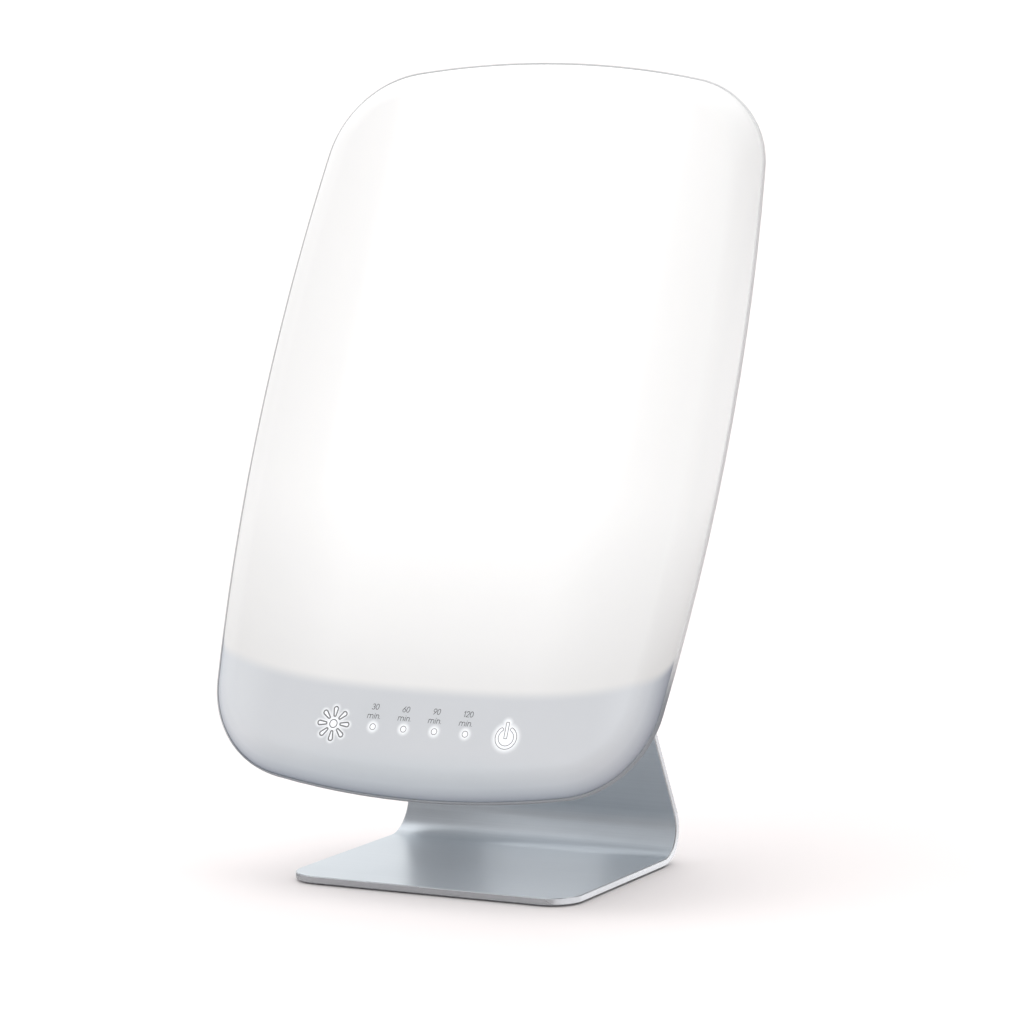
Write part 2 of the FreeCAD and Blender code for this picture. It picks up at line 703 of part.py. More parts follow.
# --------------------------------------------------------------------------
# Tilt hinge, stand side. Mast frame: upright's front face at y = mast_gap.
# --------------------------------------------------------------------------
def ear(label, side):
    b = new_body(label)
    x_in = S.ear_in if side > 0 else -(S.ear_in + S.ear_sheet)
    sk = new_sketch(b, "YZ_Plane", x_in)
    r, yb, zl, zh = S.ear_radius.v, S.mast_gap.v, -S.ear_low.v, S.ear_high.v

    def tangent(px, pz, sgn):
        d = math.hypot(px, pz)
        a = math.atan2(pz, px)
        w = math.acos(r / d)
        return a + sgn * w

    a1 = tangent(yb, zh, 1)
    a2 = tangent(yb, zl, -1)
    t1 = (r * math.cos(a1), r * math.sin(a1))
    t2 = (r * math.cos(a2), r * math.sin(a2))
    G = sk.addGeometry
    G(Part.LineSegment(V(yb, zl, 0), V(yb, zh, 0)), False)
    G(Part.LineSegment(V(yb, zh, 0), V(t1[0], t1[1], 0)), False)
    G(Part.ArcOfCircle(Part.Circle(V(0, 0, 0), V(0, 0, 1), r), a1, a2 + 2 * math.pi), False)
    G(Part.LineSegment(V(t2[0], t2[1], 0), V(yb, zl, 0)), False)
    sk.addConstraint(C("Coincident", 0, 2, 1, 1))
    sk.addConstraint(C("Tangent", 1, 2, 2, 1))
    sk.addConstraint(C("Tangent", 2, 2, 3, 1))
    sk.addConstraint(C("Coincident", 3, 2, 0, 1))
    sk.addConstraint(C("Coincident", 2, 3, -1, 1))
    bind(sk, sk.addConstraint(C("Radius", 2, r)), S.ear_radius, uniq("r"))
    at(sk, 0, 1, S.mast_gap, -S.ear_low)
    at(sk, 0, 2, S.mast_gap, S.ear_high)
    circle(sk, 0, 0, S.pin_radius + 0.02)
    doc.recompute()
    pad(b, sk, S.ear_sheet)
    # foot that is screwed to the upright
    sk = new_sketch(b, "XZ_Plane", -(S.mast_gap - 4.0))
    lo = (S.ear_in + 0.0, S.ear_foot) if side > 0 else (-S.ear_foot, -(S.ear_in + 0.0))
    rectangle(sk, lo[0], lo[1], -S.ear_low, S.ear_high)
    for z in (S.mast_screw_low, S.mast_screw_high):
        circle(sk, side * S.mast_screw_x, z, 2.05)
    pad(b, sk, 4.0, reverse=True)
    xf = side * S.ear_foot.v
    names = edges_where(b.Shape, lambda e: abs(e.BoundBox.XMin - xf) < 1e-3 and abs(e.BoundBox.XMax - xf) < 1e-3
                        and abs(e.BoundBox.YLength - 4.0) < 1e-3)
    soften(b, names, 4.0)
    in_mast(b)
    return keep(b)


ear("stand_ear_left", -1)
ear("stand_ear_right", 1)

# pin: a long shouldered bolt along the tilt axis, turned about its own Z
b = new_body("hinge_pin")
pr = S.pin_radius
x0 = -(S.ear_in + S.ear_sheet)
f = revolve(b, [[(0, x0 - 4.6), (5.2, x0 - 4.6), (6.6, x0 - 3.9), (7.0, x0 - 3.2), (7.0, x0 - 0.4),
                 (6.7, x0), (pr, x0), (pr, 45.4), (pr - 0.7, 46.2), (0, 46.2)]])
sk = new_sketch(b, "XY_Plane", x0 - 4.6)
polygon(sk, [(2.9 * math.cos(math.radians(60 * i)), 2.9 * math.sin(math.radians(60 * i))) for i in range(6)])
pocket(b, sk, 2.4, reverse=True)
place(b, (0, S.axis_y, S.axis_z), 90, (0, 1, 0))
keep(b)

b = new_body("friction_washers")
w0, w1 = S.ear_in - S.washer_sheet, S.ear_in
revolve(b, [[(pr + 0.1, w0), (S.knuckle_radius, w0), (S.knuckle_radius, w1), (pr + 0.1, w1)],
            [(pr + 0.1, -w1), (S.knuckle_radius, -w1), (S.knuckle_radius, -w0), (pr + 0.1, -w0)]])
place(b, (0, S.axis_y, S.axis_z), 90, (0, 1, 0))
keep(b)

# conical spring washers stacked in pairs, which keep the hinge tight
b = new_body("disc_springs")
prof = []
x = S.ear_in + S.ear_sheet
for k in range(4):
    z0 = x + 0.02 + 1.14 * k
    lift_in, lift_out = (0.0, 0.4) if k % 2 == 0 else (0.4, 0.0)
    prof.append([(pr + 0.1, z0 + lift_in), (7.4, z0 + lift_out), (7.4, z0 + lift_out + 0.7),
                 (pr + 0.1, z0 + lift_in + 0.7)])
revolve(b, prof)
place(b, (0, S.axis_y, S.axis_z), 90, (0, 1, 0))
keep(b)

b = new_body("lock_nut")
nut0 = S.ear_in + S.ear_sheet + 4.62
sk = new_sketch(b, "XY_Plane", nut0)
polygon(sk, [(7.5 * math.cos(math.radians(60 * i + 30)), 7.5 * math.sin(math.radians(60 * i + 30))) for i in range(6)])
circle(sk, 0, 0, pr + 0.02)
pad(b, sk, 5.2)
sk = new_sketch(b, "XY_Plane", nut0 + 5.2)
circle(sk, 0, 0, 6.0)
circle(sk, 0, 0, pr + 0.02)
pad(b, sk, 1.9)
names = edges_where(b.Shape, lambda e: e.BoundBox.ZMin > (nut0 + 7.0).v and e.Length > 30)
soften(b, names, 0.9)
place(b, (0, S.axis_y, S.axis_z), 90, (0, 1, 0))
keep(b)

# screws through the upright into the ears' feet, with their washers; their
# own Z points back, out of the upright, and their own Y points down it
b, fs = screw("stand_screws", 3.8, 2.3, 2.0, 9.4, key_r=1.44)
rows_of(b, fs, 2, 2 * S.mast_screw_x, 2, S.mast_screw_high - S.mast_screw_low)
back = S.mast_gap + S.sheet + 0.8
place(b, (-S.mast_screw_x, S.axis_y + back * cos_of(S.lean) - S.mast_screw_high * sin_of(S.lean),
          S.axis_z + back * sin_of(S.lean) + S.mast_screw_high * cos_of(S.lean)), 270 + S.lean)
keep(b)

b = new_body("stand_screw_washers")
f = revolve(b, [[(2.15, 0), (4.5, 0), (4.5, 0.6), (4.3, 0.8), (2.15, 0.8)]])
rows_of(b, [f], 2, 2 * S.mast_screw_x, 2, S.mast_screw_high - S.mast_screw_low)
back = S.mast_gap + S.sheet
place(b, (-S.mast_screw_x, S.axis_y + back * cos_of(S.lean) - S.mast_screw_high * sin_of(S.lean),
          S.axis_z + back * sin_of(S.lean) + S.mast_screw_high * cos_of(S.lean)), 270 + S.lean)
keep(b)

# ==========================================================================
# HEAD
# ==========================================================================
# tilt hinge, head side: a plate with the knuckle that turns on the pin
b = new_body("hinge_knuckle")
sk = new_sketch(b, "YZ_Plane")
pg, kr = S.panel_gap, S.knuckle_radius
polygon(sk, [(-11.5, pg - 2.8), (-kr.v * math.cos(math.radians(24)), kr.v * math.sin(math.radians(24))), (0, 0.5),
             (kr.v * math.cos(math.radians(24)), kr.v * math.sin(math.radians(24))), (11.5, pg - 2.8)])
pad(b, sk, 2 * S.knuckle_half, both=True)
sk = new_sketch(b, "YZ_Plane")
circle(sk, 0, 0, kr)
pad(b, sk, 2 * S.knuckle_half, both=True)
sk = new_sketch(b, "XY_Plane", pg - 3.0)
rectangle(sk, -S.knuckle_half, S.knuckle_half, -46.0, 46.0)
pad(b, sk, 3.0)
sk = new_sketch(b, "YZ_Plane")
circle(sk, 0, 0, 5.5)
pocket(b, sk, None, both=True)
sk = new_sketch(b, "XY_Plane")
for sx in (-1, 1):
    for sy in (-1, 1):
        circle(sk, sx * S.pad_screw_x, sy * S.pad_screw_y, 2.2)
pocket(b, sk, None, reverse=True)
names = edges_where(b.Shape, lambda e: abs(e.BoundBox.ZLength - 3.0) < 1e-3 and abs(abs(e.BoundBox.Center.y) - 46) < 1e-3)
soften(b, names, 7.0)
names = edges_where(b.Shape, lambda e: abs(e.BoundBox.ZMin - (pg.v - 3.0)) < 1e-4 and abs(e.BoundBox.ZMax - (pg.v - 3.0)) < 1e-4
                    and (abs(abs(e.BoundBox.Center.y) - 46) < 3.6 or abs(abs(e.BoundBox.Center.x) - S.knuckle_half.v) < 3.6)
                    and not (hasattr(e.Curve, "Radius") and e.Curve.Radius < 3))
soften(b, names, 0.8, "Chamfer")
in_hinge(b)
keep(b)

b = new_body("hinge_bushings")
k1, k0 = S.knuckle_half, 7.9
bi = S.pin_radius + S.pin_fit
revolve(b, [[(bi, k0), (5.5, k0), (5.5, k1), (bi, k1)], [(bi, -k1), (5.5, -k1), (5.5, -k0), (bi, -k0)]])
place(b, (0, S.axis_y, S.axis_z), 90, (0, 1, 0))
keep(b)

# plate inside the housing that the knuckle's screws bite into
b = new_body("hinge_backing_plate")
inner = S.panel_gap + S.back_wall
sk = new_sketch(b, "XY_Plane", inner)
rectangle(sk, -60.0, 60.0, -56.0, 56.0)
for sx in (-1, 1):
    for sy in (-1, 1):
        circle(sk, sx * S.pad_screw_x, sy * S.pad_screw_y, 2.05)
pad(b, sk, 3.0)
names = edges_where(b.Shape, lambda e: abs(e.BoundBox.ZLength - 3.0) < 1e-3 and abs(abs(e.BoundBox.Center.y) - 56) < 1e-3)
soften(b, names, 8.0)
in_hinge(b)
keep(b)

b, fs = screw("knuckle_screws", 3.8, 2.3, 2.0, 8.4, key_r=1.44)
rows_of(b, fs, 2, 2 * S.pad_screw_x, 2, 2 * S.pad_screw_y)
hw = S.axis_w + S.panel_gap - 3.0
in_head_from_back(b, -S.pad_screw_x, S.axis_v + S.pad_screw_y, hw)
keep(b)

# --------------------------------------------------------------------------
# Opal front cover: a dished moulding with a quarter-ellipse edge
# --------------------------------------------------------------------------
def dome(label, gap, rnd, rise, steps):
    b = new_body(label)
    sks = []
    for a in steps:
        off = gap + rnd * (1 - math.cos(math.radians(a)))
        z = rise * math.sin(math.radians(a))
        sk = new_sketch(b, "XY_Plane", z)
        outline(sk, off)
        sks.append(sk)
    doc.recompute()
    loft(b, sks, ruled=False)
    return b


steps = (0, 14, 28, 42, 56, 70, 81, 90)
outer = dome("cover_outer", S.cover_gap, S.cover_round, S.cover_rise, steps)
core = dome("cover_core", S.cover_gap + S.cover_wall, S.cover_round - S.cover_wall,
            S.cover_rise - S.cover_wall, steps)
# bosses left standing in the hollow: eight for the housing's screws, four
# for the touch board
sk = new_sketch(core, "XY_Plane", -1)
for sx in (-1, 1):
    for sy in (-1, 1):
        circle(sk, sx * S.end_screw_x, sy * S.end_screw_y, 3.4)
        circle(sk, sx * S.side_screw_x, sy * S.side_screw_y, 3.4)
pocket(core, sk, 30.0, reverse=True)
sk = new_sketch(core, "XY_Plane", 9.6)
for sx in (-1, 1):
    for y in (S.key_board_low + 4, S.key_board_top - 4):
        circle(sk, sx * (S.key_board_x - 4), y, 3.0)
pocket(core, sk, 30.0, reverse=True)
shell = cut(outer, core, "cover_shell")
tools = new_body("cover_tools")
sk = new_sketch(tools, "XY_Plane", -0.5)
for sx in (-1, 1):
    for sy in (-1, 1):
        circle(sk, sx * S.end_screw_x, sy * S.end_screw_y, 1.5)
        circle(sk, sx * S.side_screw_x, sy * S.side_screw_y, 1.5)
pad(tools, sk, 9.5)
sk = new_sketch(tools, "XY_Plane", 9.0)
for sx in (-1, 1):
    for y in (S.key_board_low + 4, S.key_board_top - 4):
        circle(sk, sx * (S.key_board_x - 4), y, 1.3)
pad(tools, sk, 4.0)
cover = cut(shell, tools, "front_cover")
in_head(cover)
keep(cover)

# --------------------------------------------------------------------------
# Rear housing: bead at the rim, sloping sides, flat back
# --------------------------------------------------------------------------
ho = new_body("housing_outer")
sks = []
for off, z in ((q(0), -S.rim_top), (q(0), -(S.rim_top + S.rim_bead)), (S.back_slope, -S.back_depth)):
    sk = new_sketch(ho, "XY_Plane", z)
    outline(sk, off)
    sks.append(sk)
doc.recompute()
loft(ho, sks)
names = edges_where(ho.Shape, lambda e: abs(e.BoundBox.ZMin + S.back_depth.v) < 1e-3
                    and abs(e.BoundBox.ZMax + S.back_depth.v) < 1e-3)
soften(ho, names, S.back_soften)

hc = new_body("housing_core")
bead_z = S.rim_top + S.rim_bead
run = S.back_slope.v
drop = S.back_depth.v - bead_z.v
side = S.back_wall.v * math.hypot(run, drop) / drop
sks = []
for off, z in ((S.rib_in, q(0.5)), (S.rib_in, -(bead_z + (S.rib_in.v - side) * drop / run)),
               (q(side + (16.4 - bead_z.v) * run / drop), q(-16.4)), (q(side + 26.0 + (16.4 - bead_z.v) * run / drop), -(S.back_depth - S.back_wall))):
    sk = new_sketch(hc, "XY_Plane", z)
    outline(sk, off)
    sks.append(sk)
doc.recompute()
loft(hc, sks)
# posts left standing: screw pillars at the rim, posts for the light box and
# for the driver board
sk = new_sketch(hc, "XY_Plane", -1.0)
for sx in (-1, 1):
    for sy in (-1, 1):
        circle(sk, sx * S.end_screw_x, sy * S.end_screw_y, 5.0)
        circle(sk, sx * S.side_screw_x, sy * S.side_screw_y, 5.0)
pocket(hc, sk, 30.0)
sk = new_sketch(hc, "XY_Plane", -(S.tray_floor + S.tray_sheet))
for sx in (-1, 1):
    for y in (S.tray_screw_y, q(0), -S.tray_screw_y):
        circle(sk, sx * S.tray_screw_x, y, 4.0)
pocket(hc, sk, 30.0)
sk = new_sketch(hc, "XY_Plane", S.driver_w)
for x in (S.driver_left + 5, S.driver_right - 5):
    for y in (S.driver_low + 5, S.driver_top - 5):
        circle(sk, x, y, 3.5)
pocket(hc, sk, 30.0)
hs = cut(ho, hc, "housing_shell")

# raised lip that locates the front cover
lip = new_body("housing_lip")
sk = new_sketch(lip, "XY_Plane", -S.rim_top - 0.2)
outline(sk, S.rib_out)
outline(sk, S.rib_in)
pad(lip, sk, S.rib_rise + S.rim_top + 0.2)
hl = doc.addObject("Part::Fuse", "housing_with_rib")
hl.Base, hl.Tool = hs, lip
doc.recompute()

# thin raised lip round the front cover's edge, rounded on its outer side
rim = new_body("housing_rim")
sk = new_sketch(rim, "XY_Plane", -S.rim_top - 0.4)
outline(sk, 0.0)
outline(sk, S.lip_wall)
pad(rim, sk, S.lip_rise + S.rim_top + 0.4)
top_z = S.lip_rise.v
names = edges_where(rim.Shape, lambda e: abs(e.BoundBox.ZMin - top_z) < 1e-3 and abs(e.BoundBox.ZMax - top_z) < 1e-3
                    and max(abs(e.BoundBox.XMax), abs(e.BoundBox.XMin), abs(e.BoundBox.YMax), abs(e.BoundBox.YMin)) > 0)
outer_names = []
for nm in names:
    e = rim.Shape.Edges[int(nm[4:]) - 1]
    mid = e.valueAt((e.FirstParameter + e.LastParameter) / 2)
    twin = min((rim.Shape.Edges[int(k[4:]) - 1] for k in names if k != nm),
               key=lambda o: (o.valueAt((o.FirstParameter + o.LastParameter) / 2) - mid).Length)
    if e.Length > twin.Length:
        outer_names.append(nm)
soften(rim, outer_names, 0.7)
hr = doc.addObject("Part::Fuse", "housing_with_lip")
hr.Base, hr.Tool = hl, rim
doc.recompute()
hl = hr

# everything that is cut out of the housing
ht = new_body("housing_tools")
sk = new_sketch(ht, "XY_Plane", -30.0)
for sx in (-1, 1):
    for sy in (-1, 1):
        circle(sk, sx * S.end_screw_x, sy * S.end_screw_y, 3.3)
        circle(sk, sx * S.side_screw_x, sy * S.side_screw_y, 3.3)
pad(ht, sk, 25.5)
sk = new_sketch(ht, "XY_Plane", -30.0)
for sx in (-1, 1):
    for sy in (-1, 1):
        circle(sk, sx * S.end_screw_x, sy * S.end_screw_y, 1.7)
        circle(sk, sx * S.side_screw_x, sy * S.side_screw_y, 1.7)
        circle(sk, sx * S.pad_screw_x, S.axis_v + sy * S.pad_screw_y, 2.2)
circle(sk, S.inlet_x, S.inlet_y, S.inlet_thread + 0.1)
pad(ht, sk, 29.5)
# pilot holes in the posts
sk = new_sketch(ht, "XY_Plane", -21.0)
for sx in (-1, 1):
    for y in (S.tray_screw_y, q(0), -S.tray_screw_y):
        circle(sk, sx * S.tray_screw_x, y, 1.3)
for x in (S.driver_left + 5, S.driver_right - 5):
    for y in (S.driver_low + 5, S.driver_top - 5):
        circle(sk, x, y, 1.1)
pad(ht, sk, 8.0)
# cooling slots, a field above and a field below the hinge
for y0, y1 in ((158.0, 190.0), (-168.0, -142.0)):
    sk = new_sketch(ht, "XY_Plane", -30.0)
    slot(sk, -60.0, y0, y1, 1.7)
    f = pad(ht, sk, 12.0)
    pattern(ht, f, sk, x=120.0, nx=13)
# shallow bare panel pressed into the back, below the hinge
sk = new_sketch(ht, "XY_Plane", -24.5)
rectangle(sk, -46.0, 46.0, -205.0, -182.0)
f = pad(ht, sk, 1.1)
names = edges_where(f.Shape, lambda e: abs(e.BoundBox.ZLength - 1.1) < 1e-3 and abs(abs(e.BoundBox.Center.x) - 46.0) < 1e-3
                    and e.BoundBox.YLength < 1e-3)
soften(ht, names, 3.0)
housing = cut(hl, ht, "rear_housing")
in_head(housing)
keep(housing)

# soft seal between the cover's edge and the housing's rim
b = new_body("rim_seal")
sk = new_sketch(b, "XY_Plane", -S.rim_top)
outline(sk, S.cover_gap + 0.3)
outline(sk, S.cover_gap + 2.2)
pad(b, sk, S.rim_top)
in_head(b)
keep(b)

# screws that hold housing and cover together
parts_ = []
for nm, sx, sy, z in (("end", S.end_screw_x, S.end_screw_y, None), ("side", S.side_screw_x, S.side_screw_y, None)):
    b, fs = screw("housing_screw_" + nm, 2.9, 1.9, 1.45, 9.5, key_r=1.2)
    rows_of(b, fs, 2, 2 * sx, 2, 2 * sy)
    in_head_from_back(b, -sx, sy, -4.5)
    parts_.append(b)
o = doc.addObject("Part::Compound", "housing_screws")
o.Links = parts_
keep(o, "housing_screws")

# --------------------------------------------------------------------------
# Light box
# --------------------------------------------------------------------------
b = new_body("reflector_tray")
z_rim, z_bot = q(0.2), -(S.tray_floor + S.tray_sheet)
sks = []
for off, z in ((S.tray_edge + 2, z_rim), (S.tray_edge + 2 + S.tray_draft, z_bot)):
    sk = new_sketch(b, "XY_Plane", z)
    outline(sk, off, lit=True)
    sks.append(sk)
doc.recompute()
loft(b, sks)
sks = []
for off, z in ((S.tray_edge + 2.95, z_rim), (S.tray_edge + 2.75 + S.tray_draft, -S.tray_floor)):
    sk = new_sketch(b, "XY_Plane", z)
    outline(sk, off, lit=True)
    sks.append(sk)
doc.recompute()
loft(b, sks, cut=True)
sk = new_sketch(b, "XY_Plane", z_rim)
outline(sk, S.tray_edge, lit=True)
outline(sk, S.tray_edge + 2.95, lit=True)
pad(b, sk, 0.8)
sk = new_sketch(b, "XY_Plane", z_bot - 1)
for sx in (-1, 1):
    for y in (S.tray_screw_y, q(0), -S.tray_screw_y):
        circle(sk, sx * S.tray_screw_x, y, 1.7)
slot(sk, -95.0, -150.0, -135.0, 2.2)
pocket(b, sk, 3.0, reverse=True)
in_head(b)
keep(b)

b, fs = screw("tray_screws", 2.8, 1.8, 1.25, 4.4, key_r=1.1)
rows_of(b, fs, 2, 2 * S.tray_screw_x, 3, 2 * S.tray_screw_y)
in_head(b, -S.tray_screw_x, -S.tray_screw_y, -S.tray_floor)
keep(b)

b = new_body("diffuser_sheet")
sk = new_sketch(b, "XY_Plane", 1.0)
outline(sk, S.tray_edge + 0.4, lit=True)
pad(b, sk, S.diffuser_sheet)
in_head(b)
keep(b)

# light strips with their chips and plugs
b = new_body("light_strips")
half = S.strip_width / 2
xs = -3.5 * S.strip_pitch
sk = new_sketch(b, "XY_Plane", -S.tray_floor)
rectangle(sk, xs - half, xs + half, S.strip_low, S.strip_low + S.strip_length)
f = pad(b, sk, S.strip_sheet)
pattern(b, f, sk, x=7 * S.strip_pitch, nx=8)
in_head(b)
keep(b)

b = new_body("light_chips")
sk = new_sketch(b, "XY_Plane", -S.tray_floor + S.strip_sheet)
y0 = S.strip_low + 14
rectangle(sk, xs - 1.75, xs + 1.75, y0 - 1.75, y0 + 1.75)
f = pad(b, sk, 0.8)
pattern(b, f, sk, x=7 * S.strip_pitch, nx=8, y=11 * S.chip_pitch, ny=12)
in_head(b)
keep(b)

b = new_body("strip_plugs")
sk = new_sketch(b, "XY_Plane", -S.tray_floor + S.strip_sheet)
y0 = S.strip_low + S.strip_length
rectangle(sk, xs - 3.5, xs + 3.5, y0 - 8.0, y0 - 1.5)
f = pad(b, sk, 3.2)
pattern(b, f, sk, x=7 * S.strip_pitch, nx=8)
in_head(b)
keep(b)

# curved wall that keeps the light out of the control strip
b = new_body("light_baffle")
sk = new_sketch(b, "XY_Plane", 1.2)
R1 = S.lit_radius + 4.0
R0 = S.lit_radius + 1.0
cyb = S.lit_radius - S.lit_bottom
span = math.asin(146.0 / R0.v)
a0, a1 = -math.pi / 2 - span, -math.pi / 2 + span
G = sk.addGeometry
cc = V(0, cyb.v, 0)


def on(r, a):
    return V(r * math.cos(a), cyb.v + r * math.sin(a), 0)


G(Part.ArcOfCircle(Part.Circle(cc, V(0, 0, 1), R1.v), a0, a1), False)
G(Part.LineSegment(on(R1.v, a1), on(R0.v, a1)), False)
G(Part.ArcOfCircle(Part.Circle(cc, V(0, 0, 1), R0.v), a0, a1), False)
G(Part.LineSegment(on(R0.v, a0), on(R1.v, a0)), False)
sk.addConstraint(C("Coincident", 0, 2, 1, 1))
sk.addConstraint(C("Coincident", 1, 2, 2, 2))
sk.addConstraint(C("Coincident", 2, 1, 3, 1))
sk.addConstraint(C("Coincident", 3, 2, 0, 1))
at(sk, 0, 3, 0, cyb)
sk.addConstraint(C("Coincident", 2, 3, 0, 3))
bind(sk, sk.addConstraint(C("Radius", 0, R1.v)), R1, uniq("r"))
bind(sk, sk.addConstraint(C("Radius", 2, R0.v)), R0, uniq("r"))
doc.recompute()
pad(b, sk, 11.1)
in_head(b)
keep(b)

# --------------------------------------------------------------------------
# Control strip: touch board right behind the cover, driver board behind it
# --------------------------------------------------------------------------
cover_in = S.cover_rise - S.cover_wall
kb = S.key_board_x
b = new_body("touch_board")
sk = new_sketch(b, "XY_Plane", 8.0)
rectangle(sk, -kb, kb, S.key_board_low, S.key_board_top)
for sx in (-1, 1):
    for y in (S.key_board_low + 4, S.key_board_top - 4):
        circle(sk, sx * (kb - 4), y, 1.5)
pad(b, sk, S.board_sheet)
in_head(b)
keep(b)

b = new_body("light_frame")
sk = new_sketch(b, "XY_Plane", 9.7)
rectangle(sk, -78.0, 78.0, S.key_row - 14.0, S.key_row + 14.0)
for k in (-1.5, -0.5, 0.5, 1.5):
    circle(sk, k * S.dot_pitch, S.key_row, 3.6)
for sx in (-1, 1):
    circle(sk, sx * S.key_x, S.key_row, 9.2)
pad(b, sk, 2.7)
in_head(b)
keep(b)

b = new_body("indicator_lights")
sk = new_sketch(b, "XY_Plane", 9.65)
x = -1.5 * S.dot_pitch
rectangle(sk, x - 1.5, x + 1.5, S.key_row - 1.0, S.key_row + 1.0)
f = pad(b, sk, 1.1)
pattern(b, f, sk, x=3 * S.dot_pitch, nx=4)
in_head(b)
keep(b)

b = new_body("touch_springs")
prof = []
for k in range(5):
    z0 = 9.65 + 0.5 * k
    prof.append([(7.0, z0), (8.2, z0), (8.2, z0 + 0.5), (7.0, z0 + 0.5)])
f = revolve(b, [[(7.0, 9.65), (8.4, 9.65), (8.4, 10.15), (7.8, 10.5), (8.4, 10.9), (7.8, 11.3), (8.4, 11.7),
                 (8.4, 12.35), (7.0, 12.35)]])
rows_of(b, [f], 2, 2 * S.key_x, 1, 0)
in_head(b, -S.key_x, S.key_row, 0)
keep(b)

b, fs = screw("touch_board_screws", 2.4, 1.4, 1.2, 4.6, key_r=1.0)
rows_of(b, fs, 2, 2 * (kb - 4), 2, S.key_board_top - S.key_board_low - 8)
in_head_from_back(b, -(kb - 4), S.key_board_top - 4, 8.0)
keep(b)

dl, dr, dlo, dt, dw = S.driver_left, S.driver_right, S.driver_low, S.driver_top, S.driver_w
b = new_body("driver_board")
sk = new_sketch(b, "XY_Plane", dw)
rectangle(sk, dl, dr, dlo, dt)
for x in (dl + 5, dr - 5):
    for y in (dlo + 5, dt - 5):
        circle(sk, x, y, 1.7)
pad(b, sk, S.board_sheet)
in_head(b)
keep(b)

top = dw + S.board_sheet
b = new_body("driver_inductor")
f = revolve(b, [[(4.0, 0.5), (5.0, 0), (9.5, 0), (10.5, 1.0), (10.5, 8.0), (9.5, 9.0), (5.0, 9.0), (4.0, 8.5)]])
in_head(b, -55.0, -214.0, top)
keep(b)

b = new_body("driver_capacitors")
f = revolve(b, [[(0, 0), (4.6, 0), (5.0, 0.4), (5.0, 1.6), (4.7, 2.0), (5.0, 2.4), (5.0, 15.6), (4.6, 16.0), (0, 16.0)]])
rows_of(b, [f], 3, 26.0, 1, 0)
in_head(b, -30.0, -213.0, top)
keep(b)

b = new_body("driver_heatsink")
sk = new_sketch(b, "XZ_Plane")
pts = [(0, 0), (24.0, 0)]
for k in range(5, -1, -1):
    x1 = 4.4 * k + 2.0
    x0_ = 4.4 * k
    pts += [(x1, 14.0), (x0_, 14.0)] if k == 5 else [(x1, 3.0), (x1, 14.0), (x0_, 14.0)]
    if k > 0:
        pts.append((x0_, 3.0))
polygon(sk, pts)
pad(b, sk, 22.0, both=True)
in_head(b, 3.0, -214.0, top)
keep(b)

b = new_body("terminal_blocks")
sk = new_sketch(b, "XY_Plane", 0)
rectangle(sk, 0, 8.5, -8.0, 8.0)
f = pad(b, sk, 9.0)
pattern(b, f, sk, x=128.5, nx=2)
in_head(b, dl + 1.5, -214.0, top)
keep(b)

b, fs = screw("driver_board_screws", 2.6, 1.6, 1.05, 5.0, key_r=1.0)
rows_of(b, fs, 2, dr - dl - 10, 2, dt - dlo - 10)
in_head(b, dl + 5, dlo + 5, top)
keep(b)

# flat cable from the touch board down to the driver board
b = new_body("board_ribbon")
sk = new_sketch(b, "XZ_Plane")
polygon(sk, [(0, 0), (0.5, 0), (0.5, 7.0), (4.5, 11.5), (4.5, 21.2), (4.0, 21.2), (4.0, 11.7), (0, 7.2)])
pad(b, sk, 14.0, both=True)
in_head(b, -72.0, -220.0, top + 0.1)
keep(b)

# --------------------------------------------------------------------------
# Power inlet: barrel socket screwed through the housing's back
# --------------------------------------------------------------------------
# own Z points out of the back, with z = 0 on the housing's outer face
b = new_body("power_inlet")
th, bo = S.inlet_thread, S.inlet_bore
revolve(b, [[(0, -14.0), (4.6, -14.0), (4.6, -11.0), (th, -10.6), (th, 0), (7.2, 0), (7.2, 1.0), (6.7, 1.6), (bo + 0.5, 1.6),
             (bo, 1.1), (bo, -8.0), (0, -8.0)]])
in_head_from_back(b, S.inlet_x, S.inlet_y, -S.back_depth)
keep(b)

b = new_body("power_inlet_pin")
ip = S.inlet_pin
revolve(b, [[(0, -8.0), (ip, -8.0), (ip, 0.2), (ip - 0.4, 0.8), (0, 0.8)]])
in_head_from_back(b, S.inlet_x, S.inlet_y, -S.back_depth)
keep(b)

b = new_body("power_inlet_nut")
sk = new_sketch(b, "XY_Plane", -(S.back_wall + 2.4))
polygon(sk, [(8.1 * math.cos(math.radians(60 * i)), 8.1 * math.sin(math.radians(60 * i))) for i in range(6)])
circle(sk, 0, 0, th + 0.02)
pad(b, sk, 2.4)
in_head_from_back(b, S.inlet_x, S.inlet_y, -S.back_depth)
keep(b)


